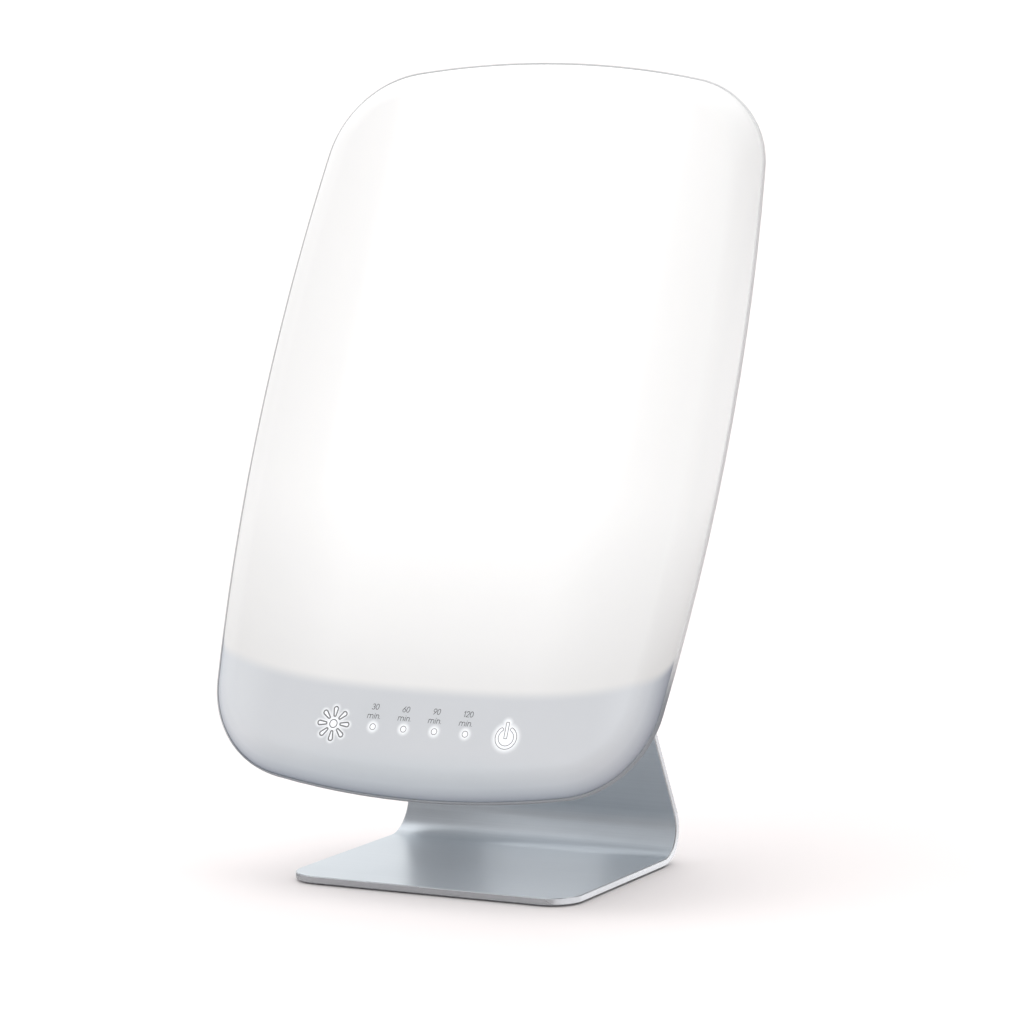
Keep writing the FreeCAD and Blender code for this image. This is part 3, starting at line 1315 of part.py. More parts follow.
# --------------------------------------------------------------------------
# Wires inside the housing: straight runs joined by arcs
# --------------------------------------------------------------------------
def wire(label, pts, bends, radius, role, off):
    """Tube of one radius along a flat route with rounded corners."""
    b = new_body(label)
    sk = new_sketch(b, role, off)
    segs = []
    cur = pts[0]
    for i in range(1, len(pts) - 1):
        p, a, c = pts[i], pts[i - 1], pts[i + 1]
        v1 = (p[0] - a[0], p[1] - a[1])
        v2 = (c[0] - p[0], c[1] - p[1])
        l1, l2 = math.hypot(*v1), math.hypot(*v2)
        u1, u2 = (v1[0] / l1, v1[1] / l1), (v2[0] / l2, v2[1] / l2)
        turn = math.atan2(u1[0] * u2[1] - u1[1] * u2[0], u1[0] * u2[0] + u1[1] * u2[1])
        rb = bends[i - 1]
        tl = rb * math.tan(abs(turn) / 2)
        s = (p[0] - u1[0] * tl, p[1] - u1[1] * tl)
        e = (p[0] + u2[0] * tl, p[1] + u2[1] * tl)
        sg = 1 if turn > 0 else -1
        cc_ = (s[0] - sg * u1[1] * rb, s[1] + sg * u1[0] * rb)
        segs.append(("L", cur, s))
        segs.append(("A", s, e, cc_, rb, sg))
        cur = e
    segs.append(("L", cur, pts[-1]))
    length = 0.0
    for sgm in segs:
        if sgm[0] == "L":
            sk.addGeometry(Part.LineSegment(V(sgm[1][0], sgm[1][1], 0), V(sgm[2][0], sgm[2][1], 0)), False)
            length += math.dist(sgm[1], sgm[2])
        else:
            _, s, e, c0, rb, sg = sgm
            a_s = math.atan2(s[1] - c0[1], s[0] - c0[0])
            a_e = math.atan2(e[1] - c0[1], e[0] - c0[0])
            if sg < 0:
                a_s, a_e = a_e, a_s
            while a_e < a_s:
                a_e += 2 * math.pi
            sk.addGeometry(Part.ArcOfCircle(Part.Circle(V(c0[0], c0[1], 0), V(0, 0, 1), rb), a_s, a_e), False)
            length += rb * (a_e - a_s)
    n = len(segs)
    for i in range(n - 1):
        a_end = 2 if segs[i][0] == "L" or segs[i][5] > 0 else 1
        b_start = 1 if segs[i + 1][0] == "L" or segs[i + 1][5] > 0 else 2
        sk.addConstraint(C("Tangent", i, a_end, i + 1, b_start))
    k = 0
    for i, sgm in enumerate(segs):
        if sgm[0] == "A":
            sk.addConstraint(C("Radius", i, sgm[4]))
    sk.addConstraint(C("Block", 0))
    doc.recompute()
    # round section at the start of the route
    prof = b.newObject("Sketcher::SketchObject", uniq("sketch"))
    prof.AttachmentSupport = (sk, ["Edge1"])
    prof.MapMode = "NormalToEdge"
    prof.MapPathParameter = 0.0
    prof.addGeometry(Part.Circle(V(0, 0, 0), V(0, 0, 1), radius), False)
    prof.addConstraint(C("Coincident", 0, 3, -1, 1))
    prof.addConstraint(C("Radius", 0, radius))
    doc.recompute()
    f = b.newObject("PartDesign::AdditivePipe", uniq("pipe"))
    f.Profile = prof
    f.Spine = (sk, ["Edge%d" % (i + 1) for i in range(n)])
    f.Mode = "Standard"
    b.Tip = f
    doc.recompute()
    vol = math.pi * radius * radius * length
    print("%s: length %.1f, volume %.1f, section times length %.1f" % (label, length, b.Shape.Volume, vol))
    return b


# from the inlet's solder tags to the driver board
b = wire("power_lead", [(S.inlet_x.v - 5.0, -190.0), (76.0, -190.0), (56.0, -214.0), (38.5, -214.0)], [9.0, 9.0], 1.3,
         "XY_Plane", -8.5)
in_head(b)
keep(b)
# from the driver board behind the light box and up through its floor
b = wire("light_lead", [(-206.0, -8.5), (-197.0, -8.5), (-185.0, -19.2), (-150.0, -19.2), (-134.0, -13.2)], [6.0, 6.0, 14.0], 1.3,
         "YZ_Plane", -95.0)
in_head(b)
keep(b)

# --------------------------------------------------------------------------
# Check and write
# --------------------------------------------------------------------------
doc.recompute()
bad = []
for o in doc.Objects:
    if "Invalid" in o.State or "Error" in o.State:
        bad.append("%s (%s)" % (o.Label, ",".join(o.State)))
for o in kept:
    if o.Shape.isNull() or not o.Shape.isValid() or not o.Shape.Solids:
        bad.append("%s: shape" % o.Label)
for o in doc.Objects:
    if o.TypeId == "Sketcher::SketchObject" and o.solve() != 0:
        bad.append("%s: sketch does not solve" % o.Label)
if bad:
    raise RuntimeError("not written: " + "; ".join(bad))

os.makedirs("parts", exist_ok=True)
for f in os.listdir("parts"):
    if f.endswith(".step"):
        os.remove(os.path.join("parts", f))
box = FreeCAD.BoundBox()
for o in kept:
    o.Shape.exportStep("parts/%s.step" % o.Label)
    box.add(o.Shape.BoundBox)
    print("%-22s solids %3d  volume %9.1f  z %.1f..%.1f" % (
        o.Label, len(o.Shape.Solids), o.Shape.Volume, o.Shape.BoundBox.ZMin, o.Shape.BoundBox.ZMax))
print("box x %.2f..%.2f  y %.2f..%.2f  z %.2f..%.2f" % (
    box.XMin, box.XMax, box.YMin, box.YMax, box.ZMin, box.ZMax))
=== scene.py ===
import math

import bpy
import numpy as np
from mathutils import Matrix, Vector


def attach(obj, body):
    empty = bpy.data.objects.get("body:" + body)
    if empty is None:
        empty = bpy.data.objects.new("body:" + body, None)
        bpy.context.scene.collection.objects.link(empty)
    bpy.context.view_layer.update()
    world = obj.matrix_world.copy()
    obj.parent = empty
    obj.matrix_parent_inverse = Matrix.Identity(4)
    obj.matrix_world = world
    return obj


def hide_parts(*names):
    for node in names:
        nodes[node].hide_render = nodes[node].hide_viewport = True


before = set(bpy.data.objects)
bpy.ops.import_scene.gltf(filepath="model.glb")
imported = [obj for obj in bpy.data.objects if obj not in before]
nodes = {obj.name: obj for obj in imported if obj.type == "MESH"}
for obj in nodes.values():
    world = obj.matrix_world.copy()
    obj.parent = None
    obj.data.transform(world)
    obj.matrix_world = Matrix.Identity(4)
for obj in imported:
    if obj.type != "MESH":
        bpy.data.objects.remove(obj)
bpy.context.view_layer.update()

MM = 0.001
rad = math.radians

# --------------------------------------------------------------------------
# Head frame: u across the panel, v up along it, w out of the lit face (mm)
# --------------------------------------------------------------------------
TILT = rad(25.46)
HEAD_O = np.array([0.0, 2.446, 316.945])
HEAD_U = np.array([1.0, 0.0, 0.0])
HEAD_V = np.array([0.0, math.sin(TILT), math.cos(TILT)])
HEAD_W = np.array([0.0, -math.cos(TILT), math.sin(TILT)])


def head(p):
    """Points (u, v, w) in mm on the head, as metres in the row frame."""
    p = np.atleast_2d(np.asarray(p, float))
    return (HEAD_O + p[:, :1] * HEAD_U + p[:, 1:2] * HEAD_V + p[:, 2:3] * HEAD_W) * MM


# sizes of the opal cover, as in the CAD (mm)
W2, H2 = 186.3, 275.0
R_SIDE, SIDE_MID, R_TOP, R_BOT, R_CT, R_CB = 1799.0, 4.6, 646.5, 662.0, 75.0, 75.0
GAP, ROUND, RISE, WALL = 1.5, 20.0, 15.0, 2.5
KEY_ROW, DOTS = -227.8, (-36.45, -12.15, 12.15, 36.45)
POWER, SUN = (68.4, -227.95), (-67.8, -227.8)
STEM_U = POWER[0] - 0.45


# --------------------------------------------------------------------------
# Mesh helpers
# --------------------------------------------------------------------------
def new_object(name, verts, faces, smooth=True, attrs=None):
    me = bpy.data.meshes.new(name)
    me.from_pydata([tuple(map(float, v)) for v in verts], [], [tuple(map(int, f)) for f in faces])
    me.update()
    if smooth:
        me.polygons.foreach_set("use_smooth", [True] * len(me.polygons))
    for key, values in (attrs or {}).items():
        a = me.attributes.new(key, "FLOAT", "POINT")
        a.data.foreach_set("value", np.asarray(values, np.float32))
    o = bpy.data.objects.new(name, me)
    bpy.context.scene.collection.objects.link(o)
    return o


def outline_loop():
    """Points and outward normals along the panel's outline, eight tangent
    arcs, anticlockwise seen from the front, in mm."""
    side_c = (W2 - R_SIDE, -SIDE_MID)
    top_c = (0.0, H2 - R_TOP)
    bot_c = (0.0, R_BOT - H2)

    def corner(c2, r2, r, sy):
        d1, d2 = R_SIDE - r, r2 - r
        dx, dy = c2[0] - side_c[0], c2[1] - side_c[1]
        ln = math.hypot(dx, dy)
        x = (d1 * d1 - d2 * d2 + ln * ln) / (2 * ln)
        y = math.sqrt(d1 * d1 - x * x)
        ex, ey = dx / ln, dy / ln
        cand = [(side_c[0] + ex * x - s * ey * y, side_c[1] + ey * x + s * ex * y) for s in (1, -1)]
        return max(cand, key=lambda p: p[0] + sy * p[1])

    ft = corner(top_c, R_TOP, R_CT, 1)
    fb = corner(bot_c, R_BOT, R_CB, -1)
    ang = lambda c, p: math.atan2(p[1] - c[1], p[0] - c[0])
    a_fb, a_ft = ang(side_c, fb), ang(side_c, ft)
    a_top, a_bot = ang(top_c, ft), ang(bot_c, fb)
    pi = math.pi
    arcs = [
        (side_c, R_SIDE, a_fb, a_ft, 56),
        (ft, R_CT, a_ft, a_top, 26),
        (top_c, R_TOP, a_top, pi - a_top, 40),
        ((-ft[0], ft[1]), R_CT, pi - a_top, pi - a_ft, 26),
        ((-side_c[0], side_c[1]), R_SIDE, pi - a_ft, pi - a_fb, 56),
        ((-fb[0], fb[1]), R_CB, pi - a_fb, pi - a_bot, 26),
        (bot_c, R_BOT, -pi - a_bot, a_bot, 40),
        (fb, R_CB, a_bot, a_fb, 26),
    ]
    pts, nrm = [], []
    for c, r, a0, a1, n in arcs:
        while a1 < a0:
            a1 += 2 * pi
        for k in range(n):
            a = a0 + (a1 - a0) * k / n
            pts.append((c[0] + r * math.cos(a), c[1] + r * math.sin(a)))
            nrm.append((math.cos(a), math.sin(a)))
    return np.array(pts), np.array(nrm)


OUT_P, OUT_N = outline_loop()


def make_cover():
    """The opal front cover: rounded edge tucked in behind the lip of the
    housing, flat face, inner skin."""
    n = len(OUT_P)
    rows = []  # each row: (xy, w, off)
    ease = 2.0 / 1.75  # a touch flatter than a quarter ellipse

    def bow(a):
        return 1.0 - math.cos(rad(a)) ** ease if a < 90 else 1.0

    def lift(a):
        return math.sin(rad(a)) ** ease

    def at(off, w):
        xy = OUT_P - off * OUT_N
        rows.append((xy, np.full(n, w), np.full(n, off)))

    # inner skin, from the middle of the hollow out to the rim
    inner_flat = 4.0 + 17.5
    base = OUT_P - inner_flat * OUT_N
    for t in (0.12, 0.4, 0.75):
        rows.append((base * t, np.full(n, 12.5), np.full(n, 60.0)))
    for a in (90, 75, 60, 45, 30, 16, 6, 0):
        at(GAP + WALL + (ROUND - WALL) * (1 - math.cos(rad(a))), (RISE - WALL) * math.sin(rad(a)))
    # rim with softened corners
    at(GAP + WALL - 0.12, 0.0)
    at(GAP + 0.3, 0.0)
    at(GAP - 0.24, 0.06)
    # outer skin, its foot held close against the lip of the housing
    at(GAP - 0.28, 0.55)
    at(GAP - 0.26, 1.50)
    at(GAP - 0.08, 1.95)
    for a in (12, 14, 18, 22, 27, 32, 38, 44, 50, 56, 62, 68, 73, 78, 82, 86, 90):
        at(GAP + ROUND * bow(a), RISE * lift(a))
    for off in (23.0, 25.5, 29.0, 34.0, 41.0, 50.0, 60.0):
        at(off, RISE)
    base = OUT_P - 60.0 * OUT_N
    for t in (0.86, 0.7, 0.54, 0.38, 0.24, 0.12):
        rows.append((base * t, np.full(n, RISE), np.full(n, 60.0 + 126.0 * (1 - t))))

    verts, off = [], []
    for xy, w, o in rows:
        verts.append(np.column_stack([xy, w]))
        off.append(o)
    verts = np.vstack(verts)
    off = np.concatenate(off)
    faces = []
    m = len(rows)
    for i in range(m - 1):
        for k in range(n):
            k2 = (k + 1) % n
            faces.append((i * n + k, i * n + k2, (i + 1) * n + k2, (i + 1) * n + k))
    c0, c1 = len(verts), len(verts) + 1
    verts = np.vstack([verts, [[0, 0, 12.5], [0, 0, RISE]]])
    off = np.concatenate([off, [60.0, 186.0]])
    for k in range(n):
        k2 = (k + 1) % n
        faces.append((c0, k2, k))
        faces.append((c1, (m - 1) * n + k, (m - 1) * n + k2))
    o = new_object("opal_cover", head(verts), faces, attrs={"edge_off": off, "rise": verts[:, 2]})
    return o


def make_rim():
    """Rounded bead along the lip of the rear housing, round the cover."""
    prof = [(-0.03, -1.25), (-0.03, 1.5)]
    prof += [(0.67 - 0.7 * math.cos(rad(a)), 1.5 + 0.7 * math.sin(rad(a))) for a in (15, 30, 45, 60, 75, 90)]
    prof += [(1.08, 2.2), (1.16, 2.12), (1.18, 0.5), (0.6, 0.5), (0.6, -1.25)]
    n, m = len(OUT_P), len(prof)
    verts = np.vstack([np.column_stack([OUT_P - off * OUT_N, np.full(n, w)]) for off, w in prof])
    faces = []
    for i in range(m):
        j = (i + 1) % m
        for k in range(n):
            k2 = (k + 1) % n
            faces.append((i * n + k, i * n + k2, j * n + k2, j * n + k))
    return new_object("housing_rim", head(verts), faces)


# --------------------------------------------------------------------------
# Printed strokes: flat ribbons lying on the cover's face
# --------------------------------------------------------------------------
class Strokes:
    """Ribbons with round ends along polylines in (u, v), a few hundredths of
    a millimetre proud of the face."""

    def __init__(self):
        self.v, self.f, self.k = [], [], 0

    def add(self, pts, width, closed=False):
        p = np.asarray(pts, float)
        h = width / 2
        if closed:
            d = np.roll(p, -1, 0) - np.roll(p, 1, 0)
            d /= np.linalg.norm(d, axis=1)[:, None]
            nn = np.column_stack([-d[:, 1], d[:, 0]])
            loops = [p + nn * h, p - nn * h]
        else:
            seg = np.diff(p, axis=0)
            seg /= np.linalg.norm(seg, axis=1)[:, None]
            d = np.vstack([seg[:1], seg[:-1] + seg[1:], seg[-1:]])
            ln = np.linalg.norm(d, axis=1)
            d /= ln[:, None]
            miter = np.ones(len(p))
            miter[1:-1] = 1.0 / np.clip(ln[1:-1] / 2, 0.45, 1.0)
            nn = np.column_stack([-d[:, 1], d[:, 0]])
            left, right = p + nn * (h * miter)[:, None], p - nn * (h * miter)[:, None]
            caps = []
            for c, t, sgn in ((p[-1], seg[-1], 1), (p[0], -seg[0], 1)):
                a0 = math.atan2(t[1], t[0])
                caps.append([c + h * np.array([math.cos(a0 + a), math.sin(a0 + a)]) for a in np.radians((60, 30, 0, -30, -60))])
            rim = np.vstack([left, caps[0], right[::-1], caps[1]])
            self._slab([rim], fan=True, strip=(len(left), 5))
            return
        self._slab(loops, fan=False)

    def _slab(self, loops, fan, strip=None):
        top, low = RISE + 0.05 + 0.0015 * (self.k % 9), RISE - 0.12 - 0.0015 * (self.k % 9)
        self.k += 1
        b = len(self.v)
        if fan:
            rim = loops[0]
            n = len(rim)
            for z in (top, low):
                self.v += [(x, y, z) for x, y in rim]
            m, c = strip
            # quads between the two long sides, end caps as single faces
            for i in range(m - 1):
                a, a2 = i, i + 1
                q, q2 = m + c + (m - 1 - i), m + c + (m - 2 - i)
                self.f.append((b + a, b + q, b + q2, b + a2))
                self.f.append((b + n + a, b + n + a2, b + n + q2, b + n + q))
            end1 = list(range(m - 1, m + c + 1))
            end2 = list(range(2 * m + c - 1, 2 * m + 2 * c)) + [0]
            for e in (end1, end2):
                self.f.append(tuple(b + i for i in e[::-1]))
                self.f.append(tuple(b + n + i for i in e))
            for i in range(n):
                j = (i + 1) % n
                self.f.append((b + i, b + j, b + n + j, b + n + i))
        else:
            a, c = loops
            n = len(a)
            for ring, z in ((a, top), (c, top), (c, low), (a, low)):
                self.v += [(x, y, z) for x, y in ring]
            for r in range(4):
                r2 = (r + 1) % 4
                for i in range(n):
                    j = (i + 1) % n
                    self.f.append((b + r * n + i, b + r * n + j, b + r2 * n + j, b + r2 * n + i))

    def build(self, name, mat):
        o = new_object(name, head(np.array(self.v)), self.f, smooth=False)
        o.data.materials.append(mat)
        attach(o, "head")
        return o


def arc(cx, cy, rx, ry, a0, a1, n=18):
    t = np.radians(np.linspace(a0, a1, n))
    return np.column_stack([cx + rx * np.cos(t), cy + ry * np.sin(t)])


GLYPHS = {
    "0": (0.60, [("c", arc(0.30, 0.5, 0.29, 0.5, 0, 345, 24))]),
    "1": (0.34, [("o", [(0.02, 0.80), (0.22, 1.0), (0.22, 0.0)])]),
    "2": (0.58, [("o", np.vstack([arc(0.29, 0.72, 0.27, 0.28, 168, -38, 14), [(0.02, 0.0), (0.57, 0.0)]]))]),
    "3": (0.56, [("o", arc(0.27, 0.745, 0.235, 0.255, 150, -90, 15)), ("o", arc(0.26, 0.245, 0.28, 0.245, 90, -152, 16))]),
    "6": (0.60, [("c", arc(0.30, 0.295, 0.285, 0.295, 0, 345, 20)), ("o", [(0.47, 1.0), (0.25, 0.72), (0.06, 0.44)])]),
    "9": (0.60, [("c", arc(0.30, 0.705, 0.285, 0.295, 0, 345, 20)), ("o", [(0.13, 0.0), (0.35, 0.28), (0.54, 0.56)])]),
}


def min_word():
    """The word for minutes, laid out from 0 to 2.2 units."""
    xh = 0.68
    arch = lambda x0, x1: np.vstack([[(x0, 0.40)], arc((x0 + x1) / 2, xh - 0.20, (x1 - x0) / 2, 0.20, 170, 0, 9), [(x1, 0.0)]])
    return [("o", [(0.0, 0.0), (0.0, xh)]), ("o", arch(0.0, 0.46)), ("o", arch(0.46, 0.92)),
            ("o", [(1.20, 0.0), (1.20, xh)]), ("o", [(1.20, 0.90), (1.20, 0.93)]),
            ("o", [(1.48, 0.0), (1.48, xh)]), ("o", arch(1.48, 1.95)), ("o", [(2.20, 0.0), (2.20, 0.03)])]


def set_text(st, parts, cu, cv, size, width_u, stroke, slant=0.13):
    """Place glyph strokes centred on (cu, cv)."""
    for kind, pts in parts:
        p = np.asarray(pts, float)
        x = p[:, 0] + slant * (p[:, 1] - 0.5) - width_u / 2
        y = p[:, 1] - 0.5
        st.add(np.column_stack([cu + x * size, cv + y * size]), stroke, closed=(kind == "c"))


def number(text):
    x, out = 0.0, []
    for ch in text:
        wd, parts = GLYPHS[ch]
        for kind, pts in parts:
            p = np.array(pts, float)
            p[:, 0] += x
            out.append((kind, p))
        x += wd + 0.16
    return out, x - 0.16


def make_symbols(ink_mat, line_mat, sun_mat):
    labels, lines, sun_st = Strokes(), Strokes(), Strokes()
    rows = (("30", -36.97, -213.29, -37.02, -220.12), ("60", -12.67, -213.58, -12.74, -220.20),
            ("90", 11.54, -213.45, 11.20, -220.25), ("120", 36.34, -213.47, 35.55, -220.37))
    for text, nu, nv, mu, mv in rows:
        parts, wd = number(text)
        set_text(labels, parts, nu, nv, 3.92, wd, 0.40)
        set_text(labels, [(k, np.column_stack([np.asarray(q, float)[:, 0] * 1.12, np.asarray(q, float)[:, 1] + 0.1])) for k, q in min_word()],
                 mu, mv, 3.95, 2.2 * 1.12, 0.40)
    for du in DOTS:
        lines.add(arc(du, KEY_ROW, 2.16, 2.16, 0, 352, 46), 0.44, closed=True)
    # power symbol: outlined open ring and outlined stem
    ru, rv = POWER
    r_out, r_in, gap, gap_l = 8.21, 5.82, 30.0, 36.0
    rc, rh = (r_out + r_in) / 2, (r_out - r_in) / 2
    band = [arc(ru, rv, r_out, r_out, 90 + gap_l, 450 - gap, 70)]
    for a, turn in ((90 - gap, 1), (90 + gap_l, -1)):
        c = np.array([ru + rc * math.cos(rad(a)), rv + rc * math.sin(rad(a))])
        if turn == 1:
            band.append(arc(c[0], c[1], rh, rh, a, a + 180, 9)[1:-1])
            band.append(arc(ru, rv, r_in, r_in, 450 - gap, 90 + gap_l, 60))
        else:
            band.append(arc(c[0], c[1], rh, rh, a + 180, a + 360, 9)[1:-1])
    lines.add(np.vstack(band), 0.44, closed=True)
    hw, y0, y1, q = 1.13, rv - 0.75, rv + 11.05, 0.40
    stem = [arc(STEM_U + hw - q, y1 - q, q, q, 0, 90, 4), arc(STEM_U - hw + q, y1 - q, q, q, 90, 180, 4),
            arc(STEM_U - hw + q, y0 + q, q, q, 180, 270, 4), arc(STEM_U + hw - q, y0 + q, q, q, 270, 360, 4)]
    lines.add(np.vstack(stem), 0.44, closed=True)
    # plain sun: a ring and eight outlined rays
    su, sv = SUN
    sun_st.add(arc(su, sv, 2.9, 2.9, 0, 352, 44), 0.70, closed=True)
    for k in range(8):
        a = rad(90 + 45 * k)
        ca, sa = math.cos(a), math.sin(a)
        cap = np.vstack([arc(6.1, 0, 0.85, 0.85, 90, 270, 9), arc(10.7, 0, 1.65, 1.65, -82, 82, 13)])
        sun_st.add(np.column_stack([su + cap[:, 0] * ca - cap[:, 1] * sa, sv + cap[:, 0] * sa + cap[:, 1] * ca]), 0.95, closed=True)
    labels.build("timer_labels", ink_mat)
    lines.build("key_outlines", line_mat)
    sun_st.build("brightness_symbol", sun_mat)


# --------------------------------------------------------------------------
# Material helpers
# --------------------------------------------------------------------------
class Mat:
    """A small wrapper for building a node material."""

    def __init__(self, name, **fixed):
        self.m = bpy.data.materials.new(name)
        self.m.use_nodes = True
        self.nt = self.m.node_tree
        self.nt.nodes.clear()
        self.out = self.nt.nodes.new("ShaderNodeOutputMaterial")
        self.b = self.nt.nodes.new("ShaderNodeBsdfPrincipled")
        self.nt.links.new(self.b.outputs["BSDF"], self.out.inputs["Surface"])
        self._obj = None
        for k, v in fixed.items():
            self.set(k.replace("_", " "), v)

    def set(self, socket, value):
        s = self.b.inputs[socket]
        if isinstance(value, bpy.types.NodeSocket):
            self.nt.links.new(value, s)
        elif isinstance(value, (tuple, list)) and len(value) == 3:
            s.default_value = (*value, 1.0) if s.type == "RGBA" else value
        else:
            s.default_value = value

    def node(self, kind, **props):
        n = self.nt.nodes.new(kind)
        for k, v in props.items():
            setattr(n, k, v)
        return n

    def put(self, socket, value):
        if isinstance(value, bpy.types.NodeSocket):
            self.nt.links.new(value, socket)
        else:
            socket.default_value = value

    def obj(self):
        if self._obj is None:
            self._obj = self.node("ShaderNodeTexCoord").outputs["Object"]
        return self._obj

    def math(self, op, a, b=0.0, c=0.0, clamp=False):
        n = self.node("ShaderNodeMath", operation=op, use_clamp=clamp)
        for s, v in zip(n.inputs, (a, b, c)):
            self.put(s, v)
        return n.outputs[0]

    def vmath(self, op, a, b=(0, 0, 0)):
        n = self.node("ShaderNodeVectorMath", operation=op)
        self.put(n.inputs[0], a)
        self.put(n.inputs[1], b)
        return n.outputs["Value"] if op in ("DOT_PRODUCT", "LENGTH", "DISTANCE") else n.outputs["Vector"]

    def sep(self, vec):
        n = self.node("ShaderNodeSeparateXYZ")
        self.put(n.inputs[0], vec)
        return n.outputs[0], n.outputs[1], n.outputs[2]

    def comb(self, x, y, z):
        n = self.node("ShaderNodeCombineXYZ")
        for s, v in zip(n.inputs, (x, y, z)):
            self.put(s, v)
        return n.outputs[0]

    def scaled(self, sx, sy, sz, vec=None):
        n = self.node("ShaderNodeMapping")
        self.put(n.inputs["Vector"], vec or self.obj())
        n.inputs["Scale"].default_value = (sx, sy, sz)
        return n.outputs[0]

    def noise(self, scale, detail=2.0, rough=0.5, vec=None, distortion=0.0):
        n = self.node("ShaderNodeTexNoise")
        self.put(n.inputs["Vector"], vec or self.obj())
        n.inputs["Scale"].default_value = scale
        n.inputs["Detail"].default_value = detail
        n.inputs["Roughness"].default_value = rough
        n.inputs["Distortion"].default_value = distortion
        return n.outputs[0]

    def voronoi(self, scale, feature="F1", vec=None, out="Distance"):
        n = self.node("ShaderNodeTexVoronoi", feature=feature)
        self.put(n.inputs["Vector"], vec or self.obj())
        n.inputs["Scale"].default_value = scale
        return n.outputs[out]

    def span(self, x, a, b, c=0.0, d=1.0, smooth=False):
        """Map x from [a, b] to [c, d], clamped."""
        n = self.node("ShaderNodeMapRange", clamp=True, interpolation_type="SMOOTHSTEP" if smooth else "LINEAR")
        for s, v in zip(n.inputs, (x, a, b, c, d)):
            self.put(s, v)
        return n.outputs[0]

    def mix(self, f, a, b):
        """Mix of two colours."""
        n = self.node("ShaderNodeMix", data_type="RGBA")
        self.put(n.inputs[0], f)
        for s, v in ((n.inputs[6], a), (n.inputs[7], b)):
            self.put(s, (*v, 1.0) if isinstance(v, (tuple, list)) and len(v) == 3 else v)
        return n.outputs[2]

    def ramp(self, f, stops):
        n = self.node("ShaderNodeValToRGB")
        self.put(n.inputs[0], f)
        e = n.color_ramp.elements
        while len(e) < len(stops):
            e.new(0.5)
        for el, (p, c) in zip(e, stops):
            el.position = p
            el.color = (*c, 1.0) if len(c) == 3 else c
        return n.outputs[0]

    def bump(self, height, distance, strength=1.0, normal=None):
        n = self.node("ShaderNodeBump")
        self.put(n.inputs["Height"], height)
        n.inputs["Distance"].default_value = distance
        n.inputs["Strength"].default_value = strength
        if normal is not None:
            self.put(n.inputs["Normal"], normal)
        return n.outputs[0]

    def head_coords(self):
        """u, v, w in mm from the piece's own coordinates."""
        p = self.vmath("SUBTRACT", self.obj(), tuple(HEAD_O * MM))
        return [self.vmath("DOT_PRODUCT", p, tuple(a * 1000.0)) for a in (HEAD_U, HEAD_V, HEAD_W)]

    def attr(self, name):
        return self.node("ShaderNodeAttribute", attribute_name=name).outputs["Fac"]


def shade(c, k):
    return tuple(min(1.0, x * k) for x in c)


def moulded(name, color, rough, grain=0.35, height=0.012, spread=0.05, blotch=0.06, spec=0.5):
    """Moulded plastic or rubber with a spark-eroded grain: size of the grain
    in mm, its height in mm, and slow changes of tone and gloss."""
    m = Mat(name)
    slow = m.noise(1 / 0.06, 3.0, 0.55)
    fine = m.noise(1000.0 / grain, 3.0, 0.6)
    cell = m.voronoi(1000.0 / (grain * 1.7), "SMOOTH_F1")
    tone = m.mix(m.span(slow, 0.3, 0.7), shade(color, 1 - blotch), shade(color, 1 + blotch * 0.5))
    tone = m.mix(m.span(fine, 0.35, 0.65, 0.0, 0.5), tone, shade(color, 1 - blotch * 1.4))
    m.set("Base Color", tone)
    m.set("Roughness", m.math("ADD", m.span(slow, 0.3, 0.7, rough - spread, rough + spread),
                              m.span(fine, 0.3, 0.7, -spread * 0.6, spread * 0.6)))
    m.set("Specular IOR Level", spec)
    h = m.math("ADD", m.math("MULTIPLY", fine, 0.7), m.math("MULTIPLY", cell, 0.5))
    m.set("Normal", m.bump(h, height * MM))
    return m


def metal(name, color, rough, kind="turned", wear=0.12, spread=0.08, fine=0.25, height=0.004):
    """Bare or plated metal with fine tool marks, smudges and slow tone."""
    m = Mat(name, Metallic=1.0)
    slow = m.noise(1 / 0.025, 3.0, 0.6)
    mark = m.noise(1000.0 / fine, 4.0, 0.65)
    spots = m.voronoi(1000.0 / 1.6, "F1", out="Color") if kind == "zinc" else None
    tone = m.mix(m.span(slow, 0.3, 0.7), shade(color, 1 - wear), shade(color, 1 + wear * 0.6))
    if spots is not None:
        # crystal spangle of the zinc coat
        tone = m.mix(m.math("MULTIPLY", m.sep(spots)[0], 0.35), tone, shade(color, 0.86))
    m.set("Base Color", tone)
    m.set("Roughness", m.math("ADD", m.span(slow, 0.3, 0.7, rough - spread, rough + spread),
                              m.span(mark, 0.3, 0.7, -0.05, 0.05)))
    m.set("Normal", m.bump(mark, height * MM))
    return m


